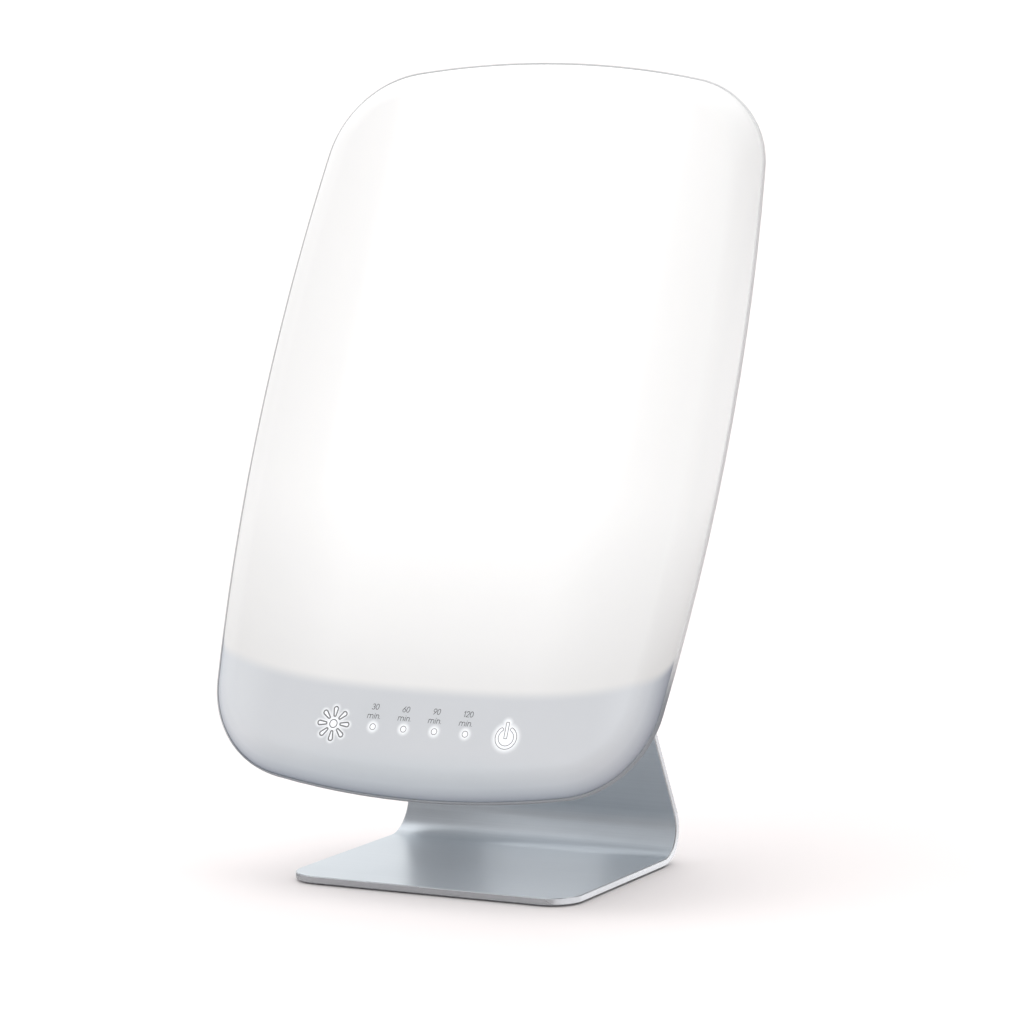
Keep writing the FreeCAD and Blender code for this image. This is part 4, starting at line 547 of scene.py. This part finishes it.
# --------------------------------------------------------------------------
# Materials, one for each slot of the record
# --------------------------------------------------------------------------
def rim_plastic():
    """Housing shell: light grey moulding, fine texture, polished only where the parting line is.
    The thin lip round the cover carries painted shade and light: dark along the bottom, darker grey on the left and
    top, lighter towards the right."""
    m = Mat("housing_plastic")
    u, v, w = m.head_coords()
    slow = m.noise(1 / 0.11, 3.0, 0.5)
    fine = m.noise(1000.0 / 0.42, 3.0, 0.6)
    cell = m.voronoi(1000.0 / 0.75, "SMOOTH_F1")
    body = m.mix(m.span(slow, 0.3, 0.7), (0.715, 0.724, 0.738), (0.760, 0.768, 0.780))
    body = m.mix(m.span(fine, 0.35, 0.65, 0.0, 0.4), body, (0.66, 0.67, 0.685))
    lip = m.span(w, -2.1, -1.6)
    # painted light and shade on the lip: darker grey on the left and top, lighter towards the right
    lip_painted_shading = m.mix(m.span(u, 60.0, 178.0, smooth=True), (0.60, 0.605, 0.61), (0.84, 0.842, 0.845))
    # painted shade: the lip turns dark along the bottom, reaching higher up on the right
    turn = m.span(u, -60.0, 60.0, smooth=True)
    low = m.math("ADD", m.math("MULTIPLY", m.span(v, -252.0, -232.0, smooth=True), m.math("SUBTRACT", 1.0, turn)),
                 m.math("MULTIPLY", m.span(v, -196.0, -150.0, smooth=True), turn))
    rim = m.mix(low, (0.335, 0.355, 0.38), lip_painted_shading)
    tone = m.mix(lip, body, rim)
    m.set("Base Color", tone)
    m.set("Roughness", m.math("ADD", m.math("ADD", m.span(slow, 0.3, 0.7, 0.44, 0.52), m.span(fine, 0.3, 0.7, -0.03, 0.03)),
                              m.math("MULTIPLY", lip, 0.25)))
    m.set("Specular IOR Level", m.math("SUBTRACT", 0.5, m.math("MULTIPLY", lip, 0.45)))
    h = m.math("ADD", m.math("MULTIPLY", fine, 0.7), m.math("MULTIPLY", cell, 0.6))
    amount = m.span(w, -2.6, -1.8, 1.0, 0.15)
    m.set("Normal", m.bump(m.math("MULTIPLY", h, amount), 0.02 * MM))
    return m


def brushed_plate():
    """Sheet of the stand: fine brushing across the sheet under a clear
    anodised coat; the milled cut edges are smoother, glossier and painted a darker grey than the face, a painted shade
    for the base's front edge."""
    m = Mat("satin_aluminium", Metallic=0.70)
    p = m.obj()
    geo = m.node("ShaderNodeNewGeometry")
    nx, ny, nz = m.sep(geo.outputs["Normal"])
    x, y, z = m.sep(p)
    hair = m.noise(1.0, 5.0, 0.7, vec=m.scaled(9.0, 2600.0, 2600.0))
    brush = m.noise(1.0, 4.0, 0.6, vec=m.scaled(3.0, 520.0, 520.0))
    wide = m.noise(1.0, 2.0, 0.5, vec=m.scaled(2.0, 70.0, 70.0))
    slow = m.noise(1 / 0.09, 2.0, 0.5)
    # cut edges: across the sheet at the sides, and round the base's front
    side = m.span(m.math("ABSOLUTE", nx), 0.35, 0.6)
    in_base = m.math("MULTIPLY", m.math("LESS_THAN", z, 0.0066), m.math("LESS_THAN", y, 0.045))
    front = m.math("MULTIPLY", in_base, m.span(m.math("ABSOLUTE", nz), 0.9, 0.6))
    edge = m.math("MAXIMUM", side, front)
    streak = m.math("ADD", m.math("MULTIPLY", brush, 0.6), m.math("MULTIPLY", hair, 0.4))
    face = m.mix(m.span(streak, 0.36, 0.64), (0.515, 0.554, 0.590), (0.575, 0.614, 0.648))
    face = m.mix(m.span(wide, 0.35, 0.65, 0.0, 0.3), face, (0.564, 0.602, 0.640))
    face = m.mix(m.span(slow, 0.35, 0.7, 0.0, 0.25), face, (0.525, 0.566, 0.608))
    # painted shade: the cut edges get a darker grey than the face
    m.set("Base Color", m.mix(edge, face, (0.46, 0.475, 0.495)))
    r_face = m.math("ADD", m.span(streak, 0.3, 0.7, 0.28, 0.35), m.span(slow, 0.3, 0.7, -0.02, 0.03))
    m.set("Roughness", m.math("ADD", m.math("MULTIPLY", r_face, m.math("SUBTRACT", 1.0, edge)),
                              m.math("MULTIPLY", edge, m.span(slow, 0.3, 0.7, 0.22, 0.30))))
    h = m.math("ADD", m.math("MULTIPLY", hair, 0.35), m.math("MULTIPLY", brush, 0.65))
    m.set("Normal", m.bump(m.math("MULTIPLY", h, m.math("SUBTRACT", 1.0, m.math("MULTIPLY", edge, 0.85))), 0.012 * MM))
    return m


def opal():
    """Opal cover: lit evenly over the light box, cool grey and unlit over the
    control strip, with white glows behind the touch symbols."""
    m = Mat("opal_cover")
    u, v, w = m.head_coords()
    off = m.attr("edge_off")
    rise = m.attr("rise")
    slow = m.noise(1 / 0.12, 2.0, 0.5)
    fine = m.noise(1000.0 / 0.5, 2.0, 0.5)

    # lower edge of the lit area: flat arch, rising at the rounded sides
    u2 = m.math("MULTIPLY", u, u)
    u4 = m.math("MULTIPLY", u2, u2)
    drop = m.math("SUBTRACT", 1.0, m.math("DIVIDE", rise, RISE))
    vb = m.math("ADD", m.math("MULTIPLY", u2, 1.86e-4), m.math("MULTIPLY", u4, 1.74e-8))
    vb = m.math("ADD", vb, m.math("MULTIPLY", m.math("MULTIPLY", drop, drop), 17.0))
    dv = m.math("ADD", m.math("SUBTRACT", v, vb), 199.5)  # above the edge > 0
    lit = m.span(dv, -4.5, 5.5, 0.0, 1.0, smooth=True)
    return m, u, v, w, off, rise, slow, fine, dv, lit


def make_opal():
    m, u, v, w, off, rise, slow, fine, dv, lit = opal()
    # glow over the lit area: full in the middle, falling a little to the
    # lower edge and the rounded sides
    up = m.ramp(m.span(dv, 0.0, 250.0), [
        (0.00, (0.160,) * 3), (0.04, (0.175,) * 3), (0.12, (0.212,) * 3), (0.20, (0.249,) * 3), (0.28, (0.280,) * 3),
        (0.40, (0.330,) * 3), (0.56, (0.400,) * 3), (0.72, (0.43,) * 3), (1.00, (0.45,) * 3)])
    up = m.sep(up)[0]
    au = m.math("ABSOLUTE", u)
    inward = m.sep(m.ramp(m.span(au, 80.0, 190.0), [
        (0.00, (1.0,) * 3), (0.18, (0.90,) * 3), (0.36, (0.80,) * 3), (0.55, (0.73,) * 3), (0.68, (0.69,) * 3),
        (0.80, (0.66,) * 3), (1.00, (0.64,) * 3)]))[0]
    cap = m.sep(m.ramp(m.span(u, -190.0, 190.0), [
        (0.000, (0.150,) * 3), (0.030, (0.175,) * 3), (0.066, (0.240,) * 3), (0.092, (0.256,) * 3), (0.132, (0.276,) * 3),
        (0.184, (0.300,) * 3), (0.237, (0.420,) * 3), (0.29, (0.60,) * 3), (0.71, (0.60,) * 3), (0.763, (0.42,) * 3),
        (0.816, (0.315,) * 3), (0.868, (0.285,) * 3), (0.908, (0.262,) * 3), (0.934, (0.262,) * 3), (0.960, (0.300,) * 3),
        (0.980, (0.36,) * 3), (1.000, (0.40,) * 3)]))[0]
    right = m.span(u, 158.0, 184.0, 1.0, 1.45, smooth=True)
    level = m.node("ShaderNodeMath", operation="SMOOTH_MIN")
    m.put(level.inputs[0], m.math("MULTIPLY", m.math("MULTIPLY", up, inward), right))
    m.put(level.inputs[1], cap)
    level.inputs[2].default_value = 0.03
    glow = m.math("MULTIPLY", lit, level.outputs[0])

    # glows behind the symbols
    def disc(cu, cv, r0, r1):
        d = m.vmath("DISTANCE", m.comb(u, v, 0.0), (cu, cv, 0.0))
        return m.span(d, r0, r1, 1.0, 0.0, smooth=True)

    spots = None
    for du in DOTS:
        s = disc(du, KEY_ROW, 1.6, 6.0)
        spots = s if spots is None else m.math("MAXIMUM", spots, s)
    ring = disc(POWER[0], POWER[1], 7.3, 12.7)
    # stem of the power symbol: distance to a short upright segment
    sv = m.span(v, POWER[1], POWER[1] + 10.3, POWER[1], POWER[1] + 10.3)
    ds = m.vmath("DISTANCE", m.comb(u, v, 0.0), m.comb(STEM_U, sv, 0.0))
    stem = m.span(ds, 0.9, 5.4, 1.0, 0.0, smooth=True)
    spots = m.math("MAXIMUM", spots, m.math("MAXIMUM", ring, stem))
    # sun symbol: eight rays, so fold the angle into one of them
    du_, dv_ = m.math("SUBTRACT", u, SUN[0]), m.math("SUBTRACT", v, SUN[1])
    ang = m.math("ARCTAN2", dv_, du_)
    step = math.pi / 4
    fold = m.math("SUBTRACT", ang, m.math("MULTIPLY", m.math("ROUND", m.math("DIVIDE", ang, step)), step))
    rr = m.math("SQRT", m.math("ADD", m.math("MULTIPLY", du_, du_), m.math("MULTIPLY", dv_, dv_)))
    px = m.math("MULTIPLY", rr, m.math("COSINE", fold))
    py = m.math("MULTIPLY", rr, m.math("SINE", fold))
    qx = m.span(px, 6.6, 11.2, 6.6, 11.2)
    dr = m.vmath("DISTANCE", m.comb(px, py, 0.0), m.comb(qx, 0.0, 0.0))
    rays = m.span(dr, 0.6, 4.4, 1.0, 0.0, smooth=True)
    core = m.span(rr, 3.0, 7.4, 1.0, 0.0, smooth=True)
    spots = m.math("MAXIMUM", spots, m.math("MAXIMUM", rays, core))

    # tone of the moulding: unlit strip is a cool grey, with painted shade that deepens it towards
    # the rim and the bottom edge, and painted light that lifts the rounded left and right sides
    strip = m.math("SUBTRACT", 1.0, lit)
    def times(x, y):
        n = m.node("ShaderNodeMix", data_type="RGBA", blend_type="MULTIPLY")
        m.put(n.inputs[0], 1.0)
        for sock, c in ((n.inputs[6], x), (n.inputs[7], y)):
            m.put(sock, (*c, 1.0) if isinstance(c, tuple) else c)
        return n.outputs[2]

    # painted shade: darker and bluer towards the rim of the cover
    edge = m.ramp(m.span(off, 0.0, 24.0), [
        (0.0, (0.56, 0.58, 0.64)), (0.09, (0.63, 0.65, 0.70)), (0.20, (0.78, 0.80, 0.83)), (0.36, (0.93, 0.94, 0.955)),
        (0.60, (0.985, 0.988, 0.99)), (1.0, (1.0, 1.0, 1.0))])
    # painted shade: darker and bluer towards the bottom edge
    low = m.mix(m.span(v, -238.0, -268.0, smooth=True), (1.0, 1.0, 1.0), (0.88, 0.92, 0.935))
    # painted light: lighter on the rounded left side
    left = m.mix(m.span(u, -118.0, -150.0, smooth=True), (1.0, 1.0, 1.0), (1.075, 1.075, 1.07))
    # painted light: lighter on the rounded right side
    rside_painted_light = m.mix(m.span(u, 128.0, 172.0, smooth=True), (1.0, 1.0, 1.0), (1.09, 1.09, 1.09))
    cool = m.mix(m.span(slow, 0.3, 0.7), (0.668, 0.690, 0.719), (0.688, 0.707, 0.735))
    cool = times(times(times(times(cool, edge), low), left), rside_painted_light)
    strip_tone_painted_shade = m.mix(strip, (0.710, 0.707, 0.702), cool)
    m.set("Base Color", strip_tone_painted_shade)
    m.set("Roughness", m.math("ADD", m.span(slow, 0.3, 0.7, 0.36, 0.42), m.span(fine, 0.3, 0.7, -0.015, 0.015)))
    m.set("Specular IOR Level", 0.22)
    m.set("Normal", m.bump(fine, 0.0015 * MM))
    m.set("Emission Color", m.mix(m.math("MAXIMUM", lit, spots), (1.0, 0.995, 0.985), (1.0, 1.0, 1.0)))
    m.set("Emission Strength", m.math("ADD", glow, m.math("MULTIPLY", m.math("MULTIPLY", spots, strip), 0.41)))
    return m


LIB = {}
LIB["opal_cover"] = make_opal()
LIB["housing_plastic"] = rim_plastic()
LIB["satin_aluminium"] = brushed_plate()
LIB["dark_rubber"] = moulded("dark_rubber", (0.045, 0.045, 0.048), 0.78, grain=0.3, height=0.02, blotch=0.15, spec=0.3)


def grey_seal():
    """The same rubber in light grey, for the seal round the cover."""
    return moulded("seal_rubber", (0.44, 0.445, 0.455), 0.7, grain=0.3, height=0.02, blotch=0.06, spec=0.3)



LIB["zinc_steel"] = metal("zinc_steel", (0.60, 0.615, 0.63), 0.36, kind="zinc")
LIB["bright_steel"] = metal("bright_steel", (0.66, 0.66, 0.665), 0.24)
LIB["spring_steel"] = metal("spring_steel", (0.22, 0.235, 0.28), 0.3)
LIB["black_screw"] = metal("black_screw", (0.055, 0.055, 0.06), 0.42, wear=0.25)
LIB["bronze"] = metal("bronze", (0.55, 0.38, 0.19), 0.4, fine=0.12)
LIB["contact_brass"] = metal("contact_brass", (0.74, 0.62, 0.36), 0.28)
LIB["nylon_white"] = moulded("nylon_white", (0.72, 0.70, 0.65), 0.5, blotch=0.05)
LIB["tray_white"] = moulded("tray_white", (0.86, 0.86, 0.85), 0.55, grain=0.2, height=0.006, blotch=0.02)
LIB["diffuser_film"] = moulded("diffuser_film", (0.88, 0.88, 0.88), 0.6, grain=0.15, height=0.006, blotch=0.02)
LIB["strip_board"] = moulded("strip_board", (0.80, 0.80, 0.78), 0.35, grain=0.15, height=0.003, blotch=0.03)
LIB["black_foam"] = moulded("black_foam", (0.03, 0.03, 0.03), 0.95, grain=0.8, height=0.15, blotch=0.3, spec=0.1)
LIB["black_plastic"] = moulded("black_plastic", (0.035, 0.035, 0.038), 0.42, grain=0.3, height=0.008, blotch=0.15)
LIB["ferrite"] = moulded("ferrite", (0.08, 0.08, 0.085), 0.5, grain=0.25, height=0.02, blotch=0.2)
LIB["capacitor_sleeve"] = moulded("capacitor_sleeve", (0.03, 0.035, 0.07), 0.28, grain=0.4, height=0.003, blotch=0.1)
LIB["ribbon_grey"] = moulded("ribbon_grey", (0.42, 0.43, 0.45), 0.45, grain=0.4, height=0.004)
LIB["wire_sleeve"] = moulded("wire_sleeve", (0.03, 0.03, 0.035), 0.45, grain=0.4, height=0.004, blotch=0.15)


def make_board():
    """Green board: solder mask with copper tracks showing through."""
    m = Mat("circuit_board")
    br = m.node("ShaderNodeTexBrick")
    m.put(br.inputs["Vector"], m.obj())
    br.inputs["Scale"].default_value = 180.0
    br.inputs["Mortar Size"].default_value = 0.03
    t = m.mix(br.outputs["Fac"], (0.028, 0.13, 0.065), (0.05, 0.20, 0.10))
    slow = m.noise(60.0, 3.0)
    m.set("Base Color", m.mix(m.span(slow, 0.3, 0.7, 0.0, 0.3), t, (0.02, 0.10, 0.05)))
    m.set("Roughness", m.span(slow, 0.3, 0.7, 0.28, 0.4))
    m.set("Normal", m.bump(br.outputs["Fac"], 0.03 * MM))
    return m


def make_chip():
    """Light chip: yellow phosphor fill in a white cup, glowing."""
    m = Mat("light_chip")
    n = m.noise(2500.0, 2.0)
    m.set("Base Color", m.mix(m.span(n, 0.3, 0.7), (0.85, 0.76, 0.38), (0.90, 0.82, 0.48)))
    m.set("Roughness", m.span(n, 0.3, 0.7, 0.25, 0.4))
    m.set("Normal", m.bump(n, 0.004 * MM))
    m.set("Emission Color", (1.0, 0.97, 0.90))
    m.set("Emission Strength", 2.0)
    m.m.cycles.emission_sampling = "NONE"
    return m


LIB["circuit_board"] = make_board()
LIB["light_chip"] = make_chip()

for name, o in nodes.items():
    for s in o.material_slots:
        base = s.material.name.split(".")[0] if s.material else ""
        if base in LIB:
            s.material = LIB[base].m
seal = grey_seal()
for s in nodes["rim_seal"].material_slots:
    s.material = seal.m

# --------------------------------------------------------------------------
# The opal cover
# --------------------------------------------------------------------------
cover = make_cover()
cover.data.materials.append(LIB["opal_cover"].m)
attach(cover, "head")
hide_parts("front_cover")

rim_bead = make_rim()
rim_bead.data.materials.append(LIB["housing_plastic"].m)
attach(rim_bead, "head")



def ink(name, color):
    """Screen-printed ink: slightly uneven, half matt."""
    m = Mat(name)
    f = m.noise(4000.0, 3.0, 0.6)
    m.set("Base Color", m.mix(m.span(f, 0.3, 0.7), shade(color, 0.85), shade(color, 1.15)))
    m.set("Roughness", m.span(f, 0.3, 0.7, 0.42, 0.55))
    m.set("Normal", m.bump(f, 0.004 * MM))
    return m.m


make_symbols(ink("label_ink", (0.070, 0.072, 0.080)), ink("outline_ink", (0.125, 0.125, 0.13)), ink("symbol_ink", (0.175, 0.178, 0.185)))

# --------------------------------------------------------------------------
# Camera
# --------------------------------------------------------------------------
cam_data = bpy.data.cameras.new("camera")
cam_data.sensor_width = 36.0
cam_data.sensor_fit = "HORIZONTAL"
cam_data.lens = 5722.36 / 1024 * 36.0
cam_data.clip_start, cam_data.clip_end = 0.05, 300.0
cam = bpy.data.objects.new("camera", cam_data)
bpy.context.scene.collection.objects.link(cam)
r_ = (0.88535325, 0.46474421, -0.01274525)
u_ = (-0.05400045, 0.13002372, 0.99003928)
b_ = (0.46177221, -0.87584625, 0.14021332)
cam.matrix_world = Matrix((
    (r_[0], u_[0], b_[0], 1.88088), (r_[1], u_[1], b_[1], -3.5335), (r_[2], u_[2], b_[2], 0.8230), (0, 0, 0, 1)))
bpy.context.scene.camera = cam

# --------------------------------------------------------------------------
# Floor, world and lights
# --------------------------------------------------------------------------
S = 150.0
floor = new_object("floor", [(-S, -S, 0), (S, -S, 0), (S, S, 0), (-S, S, 0)], [(0, 1, 2, 3)], smooth=False)
fm = Mat("floor_paper")
n = fm.noise(3.0, 2.0)
fm.set("Base Color", fm.mix(fm.span(n, 0.3, 0.7), (0.835, 0.790, 0.784), (0.842, 0.797, 0.792)))
fm.set("Roughness", 0.9)
fm.set("Specular IOR Level", 0.0)
# the floor glows faintly for camera rays only, so it reads even white; ambient occlusion dims that glow next to the
# stand, a painted contact shadow
FLOOR_CAM = 0.13
lp = fm.node("ShaderNodeLightPath")
fm.set("Emission Color", (1.0, 0.985, 0.98))
ao = fm.node("ShaderNodeAmbientOcclusion", samples=8)
ao.inputs["Distance"].default_value = 0.03
fm.set("Emission Strength", fm.math("MULTIPLY", fm.math("MULTIPLY", lp.outputs["Is Camera Ray"], FLOOR_CAM), ao.outputs["AO"]))
floor.data.materials.append(fm.m)

world = bpy.data.worlds.new("studio")
bpy.context.scene.world = world
world.use_nodes = True
wt = world.node_tree
wt.nodes.clear()
wo = wt.nodes.new("ShaderNodeOutputWorld")
bg = wt.nodes.new("ShaderNodeBackground")
tc = wt.nodes.new("ShaderNodeTexCoord")
wdot = wt.nodes.new("ShaderNodeVectorMath")
wdot.operation = "DOT_PRODUCT"
wt.links.new(tc.outputs["Generated"], wdot.inputs[0])
wdot.inputs[1].default_value = Vector((-0.60, 0.80, 0.10)).normalized()
sx = wt.nodes.new("ShaderNodeSeparateXYZ")
wt.links.new(tc.outputs["Generated"], sx.inputs[0])


def world_span(src, a, b, c, d):
    n = wt.nodes.new("ShaderNodeMapRange")
    n.interpolation_type = "SMOOTHSTEP"
    for s_, v_ in zip(list(n.inputs)[1:5], (a, b, c, d)):
        s_.default_value = v_
    wt.links.new(src, n.inputs[0])
    return n.outputs[0]


side = world_span(sx.outputs[0], 0.7, -0.5, 0.40, 0.62)
glow_ = world_span(wdot.outputs["Value"], 0.62, 0.97, 0.0, 0.66)
wsum = wt.nodes.new("ShaderNodeMath")
wsum.operation = "ADD"
wt.links.new(side, wsum.inputs[0])
wt.links.new(glow_, wsum.inputs[1])
wt.links.new(wsum.outputs[0], bg.inputs["Strength"])
bg.inputs["Color"].default_value = (0.975, 0.99, 1.0, 1.0)
wt.links.new(bg.outputs[0], wo.inputs["Surface"])


def sun(name, direction, strength, angle, color=(1, 1, 1)):
    d = bpy.data.lights.new(name, "SUN")
    d.energy = strength
    d.angle = rad(angle)
    d.color = color
    o = bpy.data.objects.new(name, d)
    bpy.context.scene.collection.objects.link(o)
    o.rotation_mode = "QUATERNION"
    o.rotation_quaternion = Vector(direction).normalized().to_track_quat("Z", "Y")
    return o


sun("key", (-0.50, -0.60, 0.62), 0.80, 80, (1.0, 0.995, 0.99))
sun("overhead", (0.0, 0.27, 1.0), 1.5, 58, (1.0, 0.995, 0.99))

# two lights for the stand alone, which the other pieces don't block
stand_set = bpy.data.collections.new("stand_lights")
bpy.context.scene.collection.children.link(stand_set)
stand_set.objects.link(nodes["stand_plate"])


def for_stand(o):
    o.light_linking.receiver_collection = stand_set
    o.light_linking.blocker_collection = stand_set


for_stand(sun("rim", (0.455, 0.88, -0.165), 0.085, 18))

# soft card low behind the stand, mirrored in the top of its base only
open_set = bpy.data.collections.new("card_blockers")
bpy.context.scene.collection.children.link(open_set)
open_set.objects.link(floor)
card = bpy.data.lights.new("base_card", "AREA")
card.shape = "RECTANGLE"
card.size, card.size_y = 0.090, 0.330
card.energy = 0.050
card_o = bpy.data.objects.new("base_card", card)
bpy.context.scene.collection.objects.link(card_o)
back = Vector((-0.4618, 0.8758, 0.0)).normalized()
card_o.location = Vector((0.050, -0.016, 0.218)) + back * 0.26
card_o.rotation_mode = "QUATERNION"
card_o.rotation_quaternion = back.to_track_quat("Z", "Y")
card_o.visible_camera = False
card_o.light_linking.receiver_collection = stand_set
card_o.light_linking.blocker_collection = open_set

# two soft cards mirrored in the bend only: one above, one under the head
for name, sx_, sy_, watts, spot, rows_ in (
        ("bend_card", 0.32, 0.58, 0.14, (-0.01, -0.10, 0.20), ((1, 0, 0), (0, 1, 0), (0, 0, 1))),
        ("under_card", 0.26, 0.258, 0.090, tuple(head((-62.0, -126.0, -32.0))[0]),
         ((1, 0, 0), (0, HEAD_V[1], HEAD_W[1]), (0, HEAD_V[2], HEAD_W[2])))):
    lamp = bpy.data.lights.new(name, "AREA")
    lamp.shape = "RECTANGLE"
    lamp.size, lamp.size_y = sx_, sy_
    lamp.energy = watts
    lamp_o = bpy.data.objects.new(name, lamp)
    bpy.context.scene.collection.objects.link(lamp_o)
    lamp_o.matrix_world = Matrix([(*map(float, r), float(t)) for r, t in zip(rows_, spot)] + [(0, 0, 0, 1)])
    lamp_o.visible_camera = lamp_o.visible_diffuse = False
    lamp_o.light_linking.receiver_collection = stand_set
    lamp_o.light_linking.blocker_collection = open_set

# low strip to the right, mirrored in the cut edge of the base
strip = bpy.data.lights.new("edge_strip", "AREA")
strip.shape = "RECTANGLE"
strip.size, strip.size_y = 0.52, 0.03
strip.energy = 0.066
strip_o = bpy.data.objects.new("edge_strip", strip)
bpy.context.scene.collection.objects.link(strip_o)
strip_o.matrix_world = Matrix(((0, 0, 1, 0.19), (1, 0, 0, -0.04), (0, 1, 0, -0.017), (0, 0, 0, 1)))
strip_o.visible_camera = False
for_stand(strip_o)

# dark flags beside and in front of the base, seen only in reflections
flag_mat = Mat("flag_cloth")
flag_mat.set("Base Color", flag_mat.mix(flag_mat.noise(40.0, 2.0), (0.30, 0.30, 0.31), (0.35, 0.35, 0.36)))
flag_mat.set("Roughness", 0.9)
for name, quad in (
        ("flag_side", [(-0.42, -0.10, 0.001), (-0.119, -0.10, 0.001), (-0.119, 0.10, 0.001), (-0.42, 0.10, 0.001)]),
        ("flag_front", [(-0.48, -0.24, 0.001), (0.02, -0.50, 0.001), (0.02, -0.50, 0.125), (-0.48, -0.24, 0.105)]),
        ("flag_low", [tuple(q) for q in head([(-320, -265, -32), (-125, -265, -32), (-125, -40, -32), (-320, -40, -32)])])):
    flag = new_object(name, quad, [(0, 1, 2, 3)], smooth=False)
    flag.data.materials.append(flag_mat.m)
    flag.visible_camera = flag.visible_diffuse = flag.visible_shadow = flag.visible_transmission = False

scene = bpy.context.scene
scene.view_settings.view_transform = "Standard"
scene.view_settings.look = "None"
scene.view_settings.exposure = 0.0
scene.view_settings.gamma = 1.0
